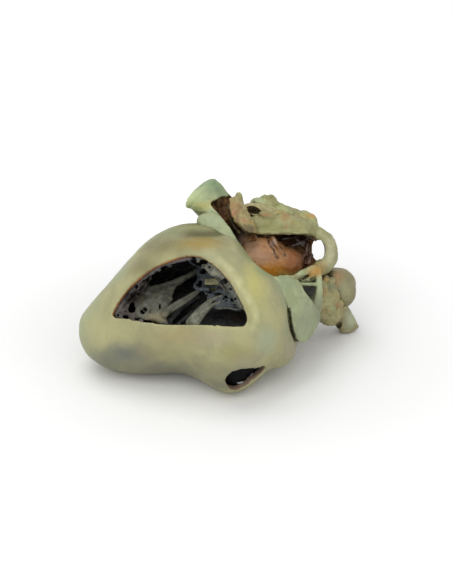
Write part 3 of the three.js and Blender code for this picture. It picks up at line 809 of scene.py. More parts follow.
# Muscles that rise from the wall between the ventricles
# The large one fans out of a broad sheet at the tip's end, and the small one runs beside it. Both
# are drawn out into the cords of the valve.
muscle_finish = chamber_finish("grey_muscle", (100, 100, 87), (28, 28, 25), [
    # The two dark spots at the left end: painted shadow
    (-36.4, -34, 29, 5, 12, 8, (46, 38, 28), 0.9),
    (-40.4, -34, 29.2, 3.4, 12, 3.8, (12, 11, 10), 0.98),
    (-27, -44, 20, 6, 10, 3.4, (134, 124, 94), 0.7),
    (-31, -38, 25, 7, 10, 3, (96, 96, 86), 0.5),
    (-22, -44, 19, 2.4, 10, 3, (40, 36, 30), 0.7),
], lit_at=(0.08, 0.5))
large_muscle = clay([
    sheet([
        [(-38, -44, 16.4), (-34, -46, 16), (-30, -47, 15.8), (-26, -47.5, 15.6), (-22.6, -46.5, 15.8)],
        [(-37, -40, 22), (-33, -42, 22.5), (-29, -42.6, 22.5), (-25.4, -42.4, 22.8), (-23.4, -41, 23.4)],
        [(-36.4, -35.5, 27), (-32, -37, 27.6), (-28, -37.6, 28), (-24, -37.4, 28.4), (-21.4, -36, 29)],
        [(-36, -31, 31.6), (-31.6, -32.4, 31.4), (-27, -33, 31.8), (-22.4, -32.4, 32.6), (-19, -31, 34)],
        [(-35.4, -28, 34.6), (-32.6, -29.4, 33.8), (-26, -29.4, 33.4), (-20, -28.6, 35.2), (-14, -27, 38.0)],
    ], 2.0),
    stem([(-30, -31, 32.4), (-20.3, -29.4, 35.6), (-12.3, -27, 39.6), (-9, -26, 41)], [1.6, 1.5, 1.3, 1.4]),
    stem([(-26, -44, 18), (-24.6, -41.4, 22.4), (-21.6, -37, 28.4)], [1.2, 1.3, 1.0]),
    stem([(-33, -42, 20), (-30, -40.8, 24.6), (-26, -37.2, 29.6)], [0.9, 1.0, 0.7]),
    stem([(-37, -42.6, 21), (-35.6, -43, 23.6), (-33.6, -43.4, 25.6), (-31.2, -44, 25), (-31.4, -44.6, 22.6),
          (-33.6, -45, 21)],
         [0.7, 0.65, 0.7, 0.6, 0.6, 0.5]),
], 0.4, 3)
cut(large_muscle,
    holes((-34, -42, 22.6, 1.2, 1.1), (-32.8, -42, 23.6, 1.1, 0.9), (-26.4, -40, 24.8, 0.3, 1.2)))
roughened(large_muscle, (3, 0.9))
placed(in_walls(large_muscle), "large_papillary_muscle", muscle_finish, "inner_muscle")

small_muscle = clay([
    stem([(-24, -46, 21.6), (-21, -43.6, 24.6), (-17.6, -41.6, 26.8), (-12.3, -38.6, 30), (-8, -36, 32.7)],
         [1.6, 1.5, 1.3, 1.1, 0.8]),
    stem([(-21, -44.6, 23), (-15, -41, 27), (-10, -37.6, 30.6)], [0.7, 0.8, 0.6]),
], 0.34, 2)
roughened(small_muscle, (2, 0.25))
placed(in_walls(small_muscle), "small_papillary_muscle", muscle_finish, "inner_muscle")

# Moderator band
# The strongest strand in the window, cast in one with the wall. It springs from the lower edge and forks
# towards the base.
band = clay([
    stem([(-14.6, -52, 13.6), (-12.6, -50, 18), (-9.2, -47, 22.5), (-5.8, -44, 26), (-2.6, -42, 28.2),
          (1.1, -42, 29.5)],
         [2.4, 2.3, 1.7, 1.25, 1.0, 0.9]),
    stem([(-11.6, -52, 15), (-9.4, -49.6, 19), (-6.6, -47, 22.4), (-3.8, -45, 25), (-0.8, -44, 26.6),
          (3.3, -44, 27.9)],
         [1.8, 1.5, 1.1, 0.9, 0.8, 0.8]),
], 0.34, 2)
scored(band, [(-13.4, -54, 16), (-10.6, -50, 20), (-7, -46.6, 24)], 0.5, -0.4)
scored(band, [(-11.4, -54, 15), (-8.6, -50, 19.6), (-5.6, -47, 23.4)], 0.5, -0.35)
roughened(band, (2, 0.2))
placed(in_walls(band), "moderator_band",
       chamber_finish("pale_strand", (128, 128, 112), (48, 48, 43), lit_at=(0.06, 0.42)),
       "cords")

# Muscle bars at the tip's end
# A thin net with small deep holes, and the ragged bars under the window's upper edge. Both are cast in one
# with the wall.
net = np.random.default_rng(5)


def rim_net(inner_edge, depth, thick):
    """A strip just under the wall, from inside the window's edge to an inner edge."""
    strip = heart_form("strip", depth, *FINE)
    cut(strip, heart_form("under_strip", depth + thick, *FINE))
    centre = (-18, 30)
    wider = [(centre[0] + (x - centre[0]) * 1.07, centre[1] + (z - centre[1]) * 1.1) for x, z in right_window]
    cut(strip, through(wider, IN_FRONT, -20), "INTERSECT")
    return cut(strip, through(inner_edge, -80, -15))


tip_bars = clay([
    rim_net([(-46, 17), (-43.6, 23.6), (-41, 28.4), (-36.6, 33.4), (-32.4, 38.2), (-28.8, 41), (-23, 43.8),
             (-14.4, 45.6), (-10.6, 50), (-6, 60), (40, 50), (40, 10), (-10, 8), (-40, 10)], 2.0, 2.2),
    sheet([
        [(-47.4, -33, 18.6), (-43, -37, 17.2), (-38, -41, 16.4), (-33, -44, 16)],
        [(-46, -33, 24), (-42, -36, 23), (-38.6, -38.6, 22.4), (-34, -40, 22)],
        [(-43.4, -32.4, 29.6), (-40, -33.6, 28.6), (-37.4, -35, 28), (-34, -36, 27.6)],
        [(-39.6, -30, 34.4), (-37.6, -30.4, 33.6), (-35.4, -31, 33), (-33, -32, 32.4)],
        [(-35, -28, 38.6), (-34, -28, 37.6), (-32.8, -28.6, 36.4), (-31.6, -29, 35.4)],
    ], 1.2),
    stem([(-46.4, -35.4, 21.6), (-43.6, -37, 26.6), (-39.6, -39, 31.8), (-34.6, -41, 36.4), (-29, -43, 40.4)],
         [1.0, 0.7, 1.1, 0.7, 1.0]),
    stem([(-43.4, -36, 25), (-40, -37, 29), (-36.6, -38, 33.4), (-33.6, -38, 35)], [0.6, 0.9, 0.5, 0.8]),
    stem([(-30, -43, 39.8), (-25, -45, 42.6), (-18, -47, 45), (-12, -48, 45.8)], [1.0, 0.55, 0.9, 0.5]),
    *lumps((-27, -43, 41.2, 1.6, 1.4, 0.9), (-22, -44, 43, 1.3, 1.3, 0.8), (-36.8, -39, 33, 1.7, 1.4, 1.2)),
    stem([(-38, -38.6, 35), (-35.6, -35, 35.6), (-33.4, -31, 35.6)], [0.8, 0.8, 1]),
    stem([(-42, -36.6, 30), (-40, -34.6, 31.6)], [0.8, 0.8]),
    stem([(-30.6, -40.6, 41), (-30.6, -36, 40), (-31.4, -30, 37)], [0.6, 0.6, 0.9]),
], 0.36, 2)
cut(tip_bars, holes(
    (-40.8, -33, 29.6, 1.9, 1.7), (-39.8, -33, 28.4, 1.2, 1.6), (-43.2, -35, 24.2, 1.2, 1.7),
    (-42.4, -35, 23, 1.3, 0.9), (-38.7, -37, 25, 1.0, 2.2), (-38.2, -37, 23.2, 1.5, 1.0),
    (-41.4, -37, 20.4, 1.8, 0.5), (-37.4, -31, 32.6, 0.9, 0.5), (-45, -34, 21, 0.7, 0.8),
    (-36.6, -41, 19.4, 1.2, 0.5), (-40.4, -37, 29.2, 2.3, 2.1), (-43.4, -37, 23.6, 1.6, 1.6),
    (-35.8, -37, 30.4, 1.2, 0.8), (-36.6, -38, 33.6, 0.9, 1.1),
    *[(x + net.uniform(-0.8, 0.8), -42, z + net.uniform(-0.8, 0.8),
       net.uniform(0.3, 0.7), net.uniform(0.3, 0.6))
      for x, z in ((-43, 27), (-41, 30), (-38.4, 33), (-35.6, 36), (-32, 39.4), (-28, 41.8), (-25, 43.4),
                   (-20, 45), (-16, 46))],
))
remeshed(tip_bars, 0.36, 2)
cut(tip_bars, holes((-38.8, -37, 23.8, 1.7, 1.8), (-41.6, -37, 20.2, 1.6, 0.9)))
remeshed(tip_bars, 0.36, 1)
roughened(tip_bars, (1.6, 1.1))
placed(in_walls(tip_bars, 2.0), "tip_muscle_bars", chamber_finish("grey_bars", (96, 91, 88), (30, 27, 26), [
    # The two dark spots at the left: painted shadow
    (-38.4, -36, 29, 4.4, 9, 8, (40, 33, 24), 0.9),
    (-40.6, -36, 29.2, 3.2, 12, 3.4, (12, 11, 10), 0.98),
    (-40, -38, 21, 5, 9, 5, (56, 50, 40), 0.8),
    (-33, -36, 36, 3, 9, 3, (70, 60, 50), 0.7),
    (-18, -44, 45.6, 7, 9, 2.4, (104, 88, 94), 0.5),
], lit_at=(0.08, 0.42)), "inner_muscle")

# Leaflet of the right valve
# A small pale yellow plate that hangs between the muscles and the roof of the chamber, held by a web of
# thin stiff cords.
leaflet = clay([
    sheet([[(-6.8, -37.4, 34.6), (-3.4, -38.4, 34.4), (0.8, -38.6, 34.4)],
           [(-6.6, -37, 36), (-3.2, -38.2, 36), (0.8, -38.8, 36.2)],
           [(-6.8, -36, 37.2), (-3.4, -37.4, 37.2), (0.4, -38.2, 38)]], 1.0),
    ball((-0.4, -38.6, 36.2), (1.4, 1, 1.6)),
], 0.3, 2)
roughened(leaflet, (1.8, 0.7))
web = clay([
    sheet([
        [(-5, -43, 24.2), (-1, -45, 24.0), (4, -47, 24.2), (9.4, -49, 22.6)],
        [(-5.6, -40, 28), (-1.6, -42, 28.4), (3, -45, 28.4), (8, -48.6, 27)],
        [(-7, -37, 31.6), (-2.6, -39, 32), (2, -43, 32), (5.8, -47, 31.4)],
        [(-8.6, -34, 35), (-4, -36, 33.8), (1, -40, 34.6), (3.6, -45, 34.6)],
        [(-9.4, -31, 38.6), (-7.4, -33, 38.4), (-1.4, -37, 38.6), (0.4, -43, 38.6)],
        [(-10.4, -28, 41.6), (-7.4, -31, 42), (-4, -37, 41.6), (-3.4, -43, 42)],
    ], 1.0),
    stem([(-10.1, -27, 41.4), (-9.3, -32, 37.4), (-11, -36, 33.7), (-8, -38, 32.6), (-4, -39, 32.6)],
         [0.9, 0.8, 0.8, 0.9, 0.8]),
    stem([(-14.4, -38, 46), (-11.6, -36, 43.6), (-9, -34, 42.4), (-5, -36, 42)], [0.6, 0.5, 0.5, 0.7]),
], 0.32, 2)
cut(web, holes(
    (-7.2, -33, 40.4, 2.0, 1.2), (2.4, -42, 34.6, 1.5, 1.2), (-8.6, -35, 35.4, 0.8, 1.3),
    (-4.4, -38, 31.2, 1.4, 0.6), (-3.6, -41, 27, 1.6, 0.8), (-3.2, -40, 32.4, 1.7, 0.8),
    (-0.4, -43, 30, 2.0, 1.1), (3, -44, 29.2, 1.4, 0.7), (5.6, -46, 28, 1.0, 0.9),
    *[(net.uniform(-6, 8.4), -43, net.uniform(24.6, 37), net.uniform(0.35, 0.8), net.uniform(0.3, 0.6))
      for _ in range(36)],
))
roughened(web, (1.4, 0.8))
leaflet_finish = painted("yellow_leaflet", (150, 146, 104), (116, 114, 82), crease=(40, 42, 40), mottle=2.5,
                         crease_at=(0.1, 0.4))
placed(leaflet, "right_valve_leaflet", leaflet_finish, "leaflet")
placed(in_walls(web), "right_valve_cords",
       chamber_finish("blue_grey_web", (84, 90, 94), (24, 27, 30), lit_at=(0.12, 0.6)),
       "cords", "right_valve_leaflet")

# Muscle bars on the base's side
# A rough net of bars that lines the base's side of the window, cast in one with the wall.
base_bars = clay([
    rim_net([(-13, 60), (-10.4, 45.8), (-8, 43.2), (-5.4, 40.4), (-3.4, 38.2), (0.2, 37.2), (3.4, 33.4),
             (5, 30.2), (7, 26.8), (8.8, 24.4), (12, 22.4), (15, 16), (0, 8), (-40, 8), (-60, 30),
             (-30, 60)], 1.5, 2.4),
    stem([(-9.4, -49, 45.8), (-5, -50, 43), (-0.8, -51, 39.2), (3.4, -52, 34.2), (6.8, -52.6, 28.2),
          (8.8, -52.6, 24.6)],
         [0.8, 1.3, 1.0, 1.4, 1.0, 1.0]),
    *lumps((-6.4, -49, 42.6, 1.8, 1.4, 1.1), (0.2, -50, 37, 1.4, 1.4, 1.5), (5, -51, 30.6, 1.2, 1.4, 1.7)),
    stem([(-6.4, -42, 42.6), (-2.4, -44, 38.6), (1.2, -46, 33.8), (4.2, -48, 29)], [0.6, 0.7, 0.6, 0.6]),
    stem([(-1.4, -48, 38), (-0.6, -44, 37.6)], [0.7, 0.7]),
    stem([(3.6, -50, 32), (2.6, -46, 31.6)], [0.7, 0.7]),
    stem([(6.4, -50.6, 26.6), (4.6, -47, 26.6)], [0.7, 0.7]),
    stem([(7.6, -50.6, 23.6), (3.6, -48.6, 24.4), (-1, -47, 24)], [0.7, 0.6, 0.6]),
], 0.34, 2)
rim_line = np.array([(-7, 42.8), (-3, 39.4), (1, 35.4), (4.4, 30.4), (7, 25)])
pits = [tuple(rim_line[k % 5] + net.uniform(-1, 1, 2) * (2.4, 2.0)) for k in range(26)]
cut(base_bars,
    holes((-7.2, -48, 44.3, 2.5, 1.2), (-4.6, -46, 42, 1.3, 0.9), (2.1, -48, 35.8, 1.9, 1.7),
          (4.6, -48, 32.6, 0.7, 1.1),
                     (6.9, -48, 28.4, 0.7, 1.2), (8.8, -48, 25, 0.6, 0.8), (-1.8, -48, 40.6, 0.8, 0.5),
                     *[(x, -50, z, net.uniform(0.25, 0.6), net.uniform(0.25, 0.5)) for x, z in pits]))
remeshed(base_bars, 0.34, 1)
roughened(base_bars, (1.1, 0.9))
placed(in_walls(base_bars, 1.3), "base_muscle_bars",
       chamber_finish("blue_grey_bars", (108, 107, 94), (34, 36, 36), [
    (5.4, -50, 28, 5, 10, 8, (76, 84, 84), 0.8),
    (-1.6, -50, 39.6, 3, 10, 2, (150, 148, 122), 0.6),
    (-8, -48, 44, 3, 10, 2.4, (60, 58, 56), 0.6),
], lit_at=(0.08, 0.44)), "inner_muscle")

# Inside the left ventricle
# The same dark skin, painted blacker here as shade, one thick muscle and its cords. Pale stems among the
# cords stand for glints in the small window: painted highlights.
left_lining = heart_form("left_lining", LEFT_WALL + 0.1, *COARSE)
cut(left_lining, cone(-SEPTUM - 0.1), "INTERSECT")
cut(left_lining,
    cut(heart_form("left_hollow", LEFT_WALL + LINING, *COARSE), cone(-SEPTUM - LINING), "INTERSECT"))
cut(left_lining, through([(x, z + 0.4) for x, z in left_window], IN_FRONT, -30, slant=(-0.3, 0.42)))
remeshed(left_lining, 0.7, 2)
roughened(left_lining, (2.4, 1.0))
# Nearly black, darker than the right lining: painted shade inside the small window
placed(left_lining, "left_chamber_lining",
       chamber_finish("black_lining", (18, 19, 20), (6, 6, 6), gloss=0.04),
       "chamber_lining", "left_ventricle_lining")
left_muscle = clay([
    stem([(-24, -18, 2), (-12, -22, 4), (-2, -25, 6)], [6.4, 4.8, 2.4]),
    stem([(-14, -26, 0), (-6, -28, 3), (0, -28, 6)], [2.6, 2, 1.4]),
], 0.5, 3)
roughened(left_muscle, (1.8, 0.6))
# Black like the lining: painted shade
placed(in_walls(left_muscle), "left_papillary_muscle",
       chamber_finish("black_muscle", (22, 23, 24), (7, 7, 7), gloss=0.04),
       "inner_muscle")
left_cords = clay([
    stem([(-1, -26, 6.4), (9, -36, 1), (15, -38, -1.6), (22, -36, 2)], [1.2, 0.8, 0.8, 1.2]),
    stem([(0, -26, 6), (10, -26, 7), (23, -22, 11)], [1.1, 0.8, 1]),
    stem([(0, -26, 6), (12, -20, 3), (21, -14, 2)], [1.1, 0.8, 1]),
    # Pale U-shaped stem and row of short flecks: painted glints seen in the small window
    stem([(9.4, -36.4, -4.7), (10, -36, -5.9), (12, -35, -6.6), (13.8, -34, -5.6), (14.4, -33.4, -4.4)],
         [0.4, 0.45, 0.5, 0.45, 0.4]),
    *[stem([(x, y - 0.4, z), (x + net.uniform(-0.4, 0.4), y + 0.6, z + net.uniform(0.7, 1.7))], [0.45, 0.26])
      for x, y, z in between([(6.8, -38.2, -8.2), (8.8, -36, -8.8), (11.4, -33.6, -8.2), (14, -31, -6.8),
                              (16.2, -29.8, -5.0)],
                             np.linspace(0, 1, 21))],
], 0.3, 1)
placed(in_walls(left_cords, 2.4), "left_valve_cords",
       chamber_finish("white_cord_and_glint", (206, 214, 220), (150, 156, 160), lit_at=(0.0, 0.2)),
       "cords")

# Right auricle
# A blunt stub with a domed end, and below it a round lobe that runs out into the crest beside the slit.
stub = clay([
    stem([(2.5, -15, 60), (-1, -16, 66), (-4.8, -16, 71.4), (-7.6, -16, 75)], [7, 7.2, 7.6, 8.4],
         flat_ends=True),
    ball((-8.7, -16, 76.1), (9.4, 9, 3.1), (0, -43, 0)),
    stem([(3, -16, 72), (-2, -16, 78), (-3.6, -16, 79.6)], [3.4, 3.4, 3]),
    ball((0, -14, 68), (6.6, 7, 7)),
], 0.5, 6)
scored(stub, [(-13.5, -19, 68.4), (-9.5, -23.6, 72), (-3.6, -23.4, 77.6), (0.4, -18, 80)], 1.4, 0.35)
scored(stub, [(-9.6, -20, 66.4), (-5, -23, 69), (0, -22.4, 72.4), (3, -18, 74)], 2.2, -0.5)
slit = [
    (-4.2, 71), (-1.8, 73), (1.4, 74.6), (3.8, 73.6), (4.6, 70), (6, 66), (9, 61.8), (12, 58.6), (14, 55),
    (14, 50), (11.4, 48), (9.2, 51.4), (7.4, 55.2), (4.4, 60), (-0.2, 65.8),
]
cut(stub, through(slit, BEFORE_BASE, -9.5))
cut(stub, through([(3, 73.8), (4.6, 75.4), (9, 74), (11, 66), (11, 58), (5, 62), (4.2, 68)], BEFORE_BASE, -4))
remeshed(stub, 0.5, 2)
roughened(stub, (4.0, 0.5), (1.2, 0.12))
auricle_finish = painted("pale_auricle", (172, 182, 140), (152, 160, 120), [
    (-5, -16, 79, 9, 12, 5, (116, 146, 108), 0.85),
    (-12, -18, 73, 7, 10, 7, (202, 214, 156), 0.9),
    (-6, -24, 70.6, 7, 6, 2.6, (206, 200, 136), 0.85),
    (-12.6, -18, 75, 5, 9, 4, (200, 214, 160), 0.6),
    (1, -18, 76, 4, 8, 3, (118, 136, 106), 0.7),
    (-5, -30, 62, 7, 8, 6, (160, 169, 134), 0.85),
    (9, -28, 46, 6, 10, 8, (150, 158, 116), 0.7),
    (36, -26, 18, 8, 10, 11, (146, 152, 124), 0.8),
    # The flap's right side darker: painted shade
    (44, -16, 22, 5, 10, 14, (128, 132, 106), 0.85),
    (29, -30, 35, 7, 10, 4, (150, 160, 126), 0.8),
    (43, -9, 40.6, 6, 8, 3.4, (186, 132, 44), 0.9),
    (35, -18, 37.4, 7, 8, 2.4, (136, 120, 78), 0.7),
    # The dark backing seen through the flap's two holes: painted shade
    (39.6, -1.6, 33, 9, 5.6, 10, (44, 38, 28), 0.98),
    (39.6, -1.6, 33, 9, 5.6, 10, (28, 24, 18), 0.98),
])
placed(stub, "right_auricle", auricle_finish, "auricle")
lobe = clay([
    *lumps((-3.8, -24, 61.6, 6.2, 7, 5.8), (-7, -24, 63.2, 3.6, 5, 3.4)),
    stem([(-1.4, -26, 60.4), (2, -27, 56.6), (5.4, -27.4, 52), (9, -27, 46.6), (13.4, -26.4, 41.6),
          (19, -25, 37)],
         [5.4, 4.4, 3.6, 3.0, 2.6, 2]),
], 0.5, 8)
cut(lobe, through(slit, BEFORE_BASE, -9.5))
remeshed(lobe, 0.5, 3)
scored(lobe, [(-9, -28, 66), (-7.6, -30, 63)], 0.8, -0.5)
roughened(lobe, (3.0, 0.5), (1.2, 0.12))
placed(lobe, "right_auricle_lobe", auricle_finish, "auricle")

# Pulmonary trunk
# A wide artery that is slit open along its near side. Its cut wall is tan, and the bore is painted dark.
trunk_path = [(12, -14, 52.4), (9.2, -13.4, 59.4), (5.6, -12.6, 66.4), (2.8, -12, 72.8)]
trunk = clay([
    stem(trunk_path, [7, 7.2, 7, 6.4], flat_ends=True),
    stem([(12.6, -14, 60), (9.6, -13.6, 66), (7, -12.4, 72.4)], [4.2, 3.6, 3]),
    *lumps((13, -12.4, 61.4, 3.8, 4.4, 3.2), (9.4, -9, 68, 3.2, 5, 4)),
    stem([(11, -9.6, 52.4), (8.2, -9, 60), (4.2, -8.4, 67), (0.2, -8.2, 73)], [6.4, 6.6, 6.2, 5],
         flat_ends=True),
], 0.5, 4)
cut(trunk,
    stem([(13, -14.4, 50)] + trunk_path[1:3] + [(1.6, -11.6, 76)], [5.2, 5.4, 5.2, 5], flat_ends=True,
         sides=12))
cut(trunk, through(slit, BEFORE_BASE, -12))
cut(trunk,
    through([(9, 48), (14, 47), (21, 48), (21, 56.6), (16, 58), (12, 58.4), (9.4, 58)], BEFORE_BASE, -11))
trunk_slit = clay([
    trunk,
    stem([(4.6, -17, 70.6), (5.8, -18.4, 67), (7.8, -18.6, 63.4), (10.4, -18, 60.4)], [1.0, 1.2, 1.3, 1.1]),
    stem([(9.4, -18.8, 61.6), (11, -18.8, 59.8), (12.8, -17.8, 58.8)], [1.1, 1.2, 1.1]),
    stem([(4.8, -14, 65), (6.4, -15, 61.6), (8.6, -15, 58.6)], [0.9, 1.1, 0.9]),
], 0.42, 2)
scored(trunk_slit, [(7.4, -19, 67), (9.6, -19, 62.6), (12.4, -17, 58.6)], 0.7, -0.5)
roughened(trunk_slit, (2.4, 0.9), (0.9, 0.25))
placed(trunk_slit, "pulmonary_trunk", painted("tan_trunk", (172, 162, 112), (150, 132, 88), [
    (7, -20, 70, 3, 6, 3, (164, 122, 82), 0.6),
    (6.4, -20, 66.6, 1.8, 5, 1.8, (168, 96, 70), 0.6),
    (11, -20, 63.4, 1.3, 5, 1.2, (176, 112, 96), 0.6),
    (13.6, -18, 62.8, 1.5, 5, 1.5, (164, 134, 48), 0.7),
    (12, -18, 59.6, 3, 5, 3, (150, 140, 100), 0.5),
    (1.6, -8, 70, 5, 6, 6, (92, 62, 36), 0.95),
    (6, -8, 60, 4.4, 6, 8, (30, 20, 12), 0.95),
    (6.6, -14.6, 61.6, 2.6, 3.4, 5, (48, 34, 18), 0.97),
    (6, -12, 63, 3.4, 4, 5, (44, 30, 16), 0.97),
    (13, -17, 57.6, 4.4, 8, 2.6, (70, 66, 50), 0.95),
    (10.4, -18, 60.2, 2.6, 6, 2.2, (92, 80, 54), 0.9),
    (13.8, -18, 60.2, 3.6, 8, 2.2, (96, 84, 58), 0.85),
    (8.4, -19, 63.4, 1.5, 6, 3, (124, 98, 64), 0.75),
    (8, -17, 68, 1.6, 6, 4, (126, 96, 62), 0.6),
], crease=(34, 22, 12), mottle=3, crease_at=(0.3, 0.72)), "trunk_wall")
trunk_skin = clay([
    stem([(11.6, -12.4, 53.4), (9.2, -12, 59.4), (4.6, -11.4, 66.4), (0, -10.8, 73), (-2.6, -11, 75.8)],
         [5.7, 5.8, 5.9, 5.2, 3.6], flat_ends=True),
], 0.5, 2)
cut(trunk_skin, stem([(13, -16.4, 50), (9.2, -16, 59.4), (4.6, -15.2, 66.4), (0.2, -14.6, 76)],
                     [5.4, 5.5, 5.4, 5.2], flat_ends=True, sides=12))
cut(trunk_skin, through(slit, BEFORE_BASE, -13.5))
for path in ([(-2, -10, 68), (0.6, -9.6, 70.6), (1.4, -9.6, 73)],
             [(0, -9.6, 66), (2.4, -9, 68.6), (3, -9, 71)]):
    scored(trunk_skin, path, 0.8, 0.5)
roughened(trunk_skin, (1.6, 0.9))
placed(trunk_skin, "pulmonary_trunk_lining", painted("brown_trunk_lining", (150, 106, 64), (92, 66, 42), [
    (8, -10, 58, 5, 8, 8, (20, 14, 10), 0.95),
    (-1, -12, 67, 2.4, 6, 2, (160, 108, 78), 0.7),
    (0, -10, 71, 2.6, 6, 2, (130, 96, 60), 0.6),
], crease=(22, 15, 10), mottle=1.6, crease_at=(0.06, 0.4)), "trunk_lining")

# Arteries on the roof
# A short wide artery with an oval mouth towards the viewer, and a small nub beside it.
pale_finish = painted("yellow_green_fat", (166, 168, 118), (142, 140, 92), [
    (42, -2, 66.6, 5, 5, 1.5, (196, 140, 66), 0.75),
    (36, -4, 66, 3, 5, 1.2, (176, 124, 74), 0.5),
    (26, -6, 68, 6, 6, 2, (176, 150, 84), 0.6),
    (31, -6, 65, 3, 5, 2.4, (172, 128, 90), 0.45),
    (9, -5, 75, 3, 5, 3, (160, 162, 106), 0.5),
    (18, -3, 74, 4, 5, 3, (178, 190, 148), 0.6),
], mottle=4, crease=(66, 50, 28), crease_at=(0.3, 0.7))
artery = clay([
    stem([(8.6, -4, 66), (12.4, -4.6, 68), (17.6, -4.6, 68), (24, -3, 66.6)], [3.4, 4, 4.3, 4]),
    stem([(12, -7.6, 69.4), (15.8, -8.8, 70.4), (19.6, -7.8, 68.4)], [1.1, 1.1, 1.2]),
    stem([(11.8, -7.6, 68.6), (15, -8.8, 67.2), (19.4, -8, 66.4)], [1.1, 1.1, 1.2]),
], 0.45, 3)
cut(artery, ball((15.2, -8.4, 68.6), (3.7, 4, 1.8), (-14, 18, 0)))
roughened(artery, (2.4, 0.5), (0.9, 0.15))
placed(artery, "brachiocephalic_trunk", painted("tan_artery", (176, 170, 122), (156, 146, 104), [
    (12, -8, 69, 3, 6, 3, (176, 148, 104), 0.7),
    (15, -4.6, 68.4, 4, 3, 2, (104, 94, 76), 0.95),
    (19, -8, 66, 3, 5, 2, (160, 160, 112), 0.6),
], crease=(60, 44, 28), mottle=3), "heart_wall")
nub = clay([
    stem([(9.6, -3, 65), (8.8, -3.4, 71), (8.6, -3.6, 75.8)], [3.2, 2.4, 1.7]),
    ball((6.8, -5, 70.6), (2, 2, 2.4)),
], 0.4, 3)
cut(nub, ball((7.2, -7.6, 73), (1, 3, 1.7), (0, 12, 0)))
roughened(nub, (1.6, 0.4))
placed(nub, "left_subclavian_artery", pale_finish, "fat")

# Fat on the roof
# Knobbly lumps along the top of the base, cast on the atrium's roof and painted pale yellow and green,
# with tan stain between them, deepened by painted shade in the creases.
roof_fat = clay(lumps(
    (17.4, 0, 71.4, 3.9, 4.6, 3.8), (20.8, 0.6, 73, 3.2, 4, 3.4), (23.6, 1, 72, 3.4, 4.6, 4.2),
    (27, 1, 69.4, 3.4, 4.4, 3.4), (30.2, 0.6, 67.8, 3, 4, 3), (21, -2, 69, 5, 4, 3.6),
    (26, -3.4, 66.6, 5, 4, 2.8), (20.6, -1.4, 75.3, 1.4, 1.8, 1.2), (23.2, -1, 75.2, 1.5, 2, 1.4),
    (16.4, -2.6, 73.2, 1.6, 1.8, 1.4), (29.6, -1.4, 70, 1.3, 1.6, 1.2), (32.6, -1, 67, 1.7, 2, 1.5),
    (26.2, -1.6, 72, 1.3, 1.8, 1.3), (19, -4.4, 70.6, 1.6, 1.4, 1.2),
), 0.45, 2)
roughened(roof_fat, (2.6, 1.1), (0.9, 0.25))
placed(roof_fat, "roof_fat", pale_finish, "fat")
rear_fat = clay(lumps(
    (38.6, 0, 65.2, 4.4, 5, 4), (41.6, 0.6, 63.8, 3.6, 5, 4.2), (35.2, -0.6, 65.4, 3, 3.4, 2),
    (36.6, -3.6, 63.6, 3, 3, 2.4), (43.4, -1, 61.4, 2.2, 3, 2.6),
), 0.45, 3)
scored(rear_fat, [(34, -4, 66.6), (37.4, -4.6, 67), (40, -4, 66.2), (41.4, -4, 64.4)], 0.7, -0.6)
roughened(rear_fat, (3, 0.7), (0.9, 0.2))
placed(rear_fat, "rear_roof_fat", pale_finish, "fat")

# Roof of the left atrium
# The smooth shelf over the opened atrium, cut off level along its lower edge.
atrium_window = [
    (6, 57), (14.5, 57.8), (27, 57.6), (39, 58), (44, 56.8), (47.6, 52.8), (48, 48.6), (45.6, 44.2),
    (39.4, 40), (32, 34), (22, 26), (8, 34), (4, 46),
]
shelf = clay([
    stem([(13.6, -7, 61.4), (19, -8, 61.8), (27, -7.4, 61.8), (36, -6, 61.2), (42, -3.6, 59.8)],
         [4.2, 4.8, 5, 4.6, 3.4]),
    *lumps(
        (18.6, -7, 64, 6, 4.6, 3), (28, -5.4, 64.6, 8, 4.6, 2.6), (13.6, -8, 64.6, 2.2, 3, 1.4),
        (22, -10, 66, 4.6, 3, 2.2, 0, 12, 0), (31, -8, 64.8, 4.4, 3, 2.4, 0, 20, 0),
        (16, -11, 61.4, 3, 2, 2),
    ),
    stem([(12.4, -11.4, 58.8), (20, -12.6, 58.6), (30, -11.8, 58.8), (40, -9, 58.4)], [0.9, 0.9, 0.9, 0.9]),
], 0.5, 4)
cut(shelf, through(atrium_window, BEFORE_BASE, -1))
roughened(shelf, (3.6, 1.3), (1.2, 0.2))
olive = painted("olive_wall", (158, 156, 110), (140, 137, 92), [
    (22, -12, 60.6, 12, 8, 3, (140, 140, 88), 0.85),
    (21, -12, 66, 4, 6, 1.6, (158, 112, 66), 0.7),
    (29.6, -10, 65.2, 3, 6, 2, (160, 118, 72), 0.7),
    (34, -10, 62.6, 2.4, 6, 2, (156, 122, 76), 0.6),
    (30.4, -12, 61.6, 1.2, 5, 1.4, (168, 112, 84), 0.5),
    (27, -12, 57.8, 16, 6, 0.9, (176, 172, 126), 0.7),
    (36, -10, 61.6, 4, 6, 3, (164, 160, 108), 0.5),
    (50.4, -6, 50, 5, 8, 9, (188, 184, 150), 0.8),
    (46.6, -6, 43.6, 3, 6, 2.6, (172, 146, 96), 0.7),
    # Bluish grey on the ring's inner side: painted shade
    (47.4, -3, 52, 1.6, 8, 4, (120, 128, 122), 0.6),
    (43.6, -4, 41.4, 4, 6, 2.6, (196, 142, 58), 0.9),
    (46, -6, 57, 4, 6, 3, (174, 176, 132), 0.6),
], mottle=5, crease=(60, 48, 28))
placed(shelf, "atrium_roof", olive, "heart_wall")

# Left atrium
# A wide thin-walled chamber, opened along its near side, with a vein's mouth that runs right through.
def vein_mouth():
    """The cutter for the hole at the vein's mouth."""
    return ball((46, 20, 51), (3.1, 40, 5.6), (0, -6, 0), 48)


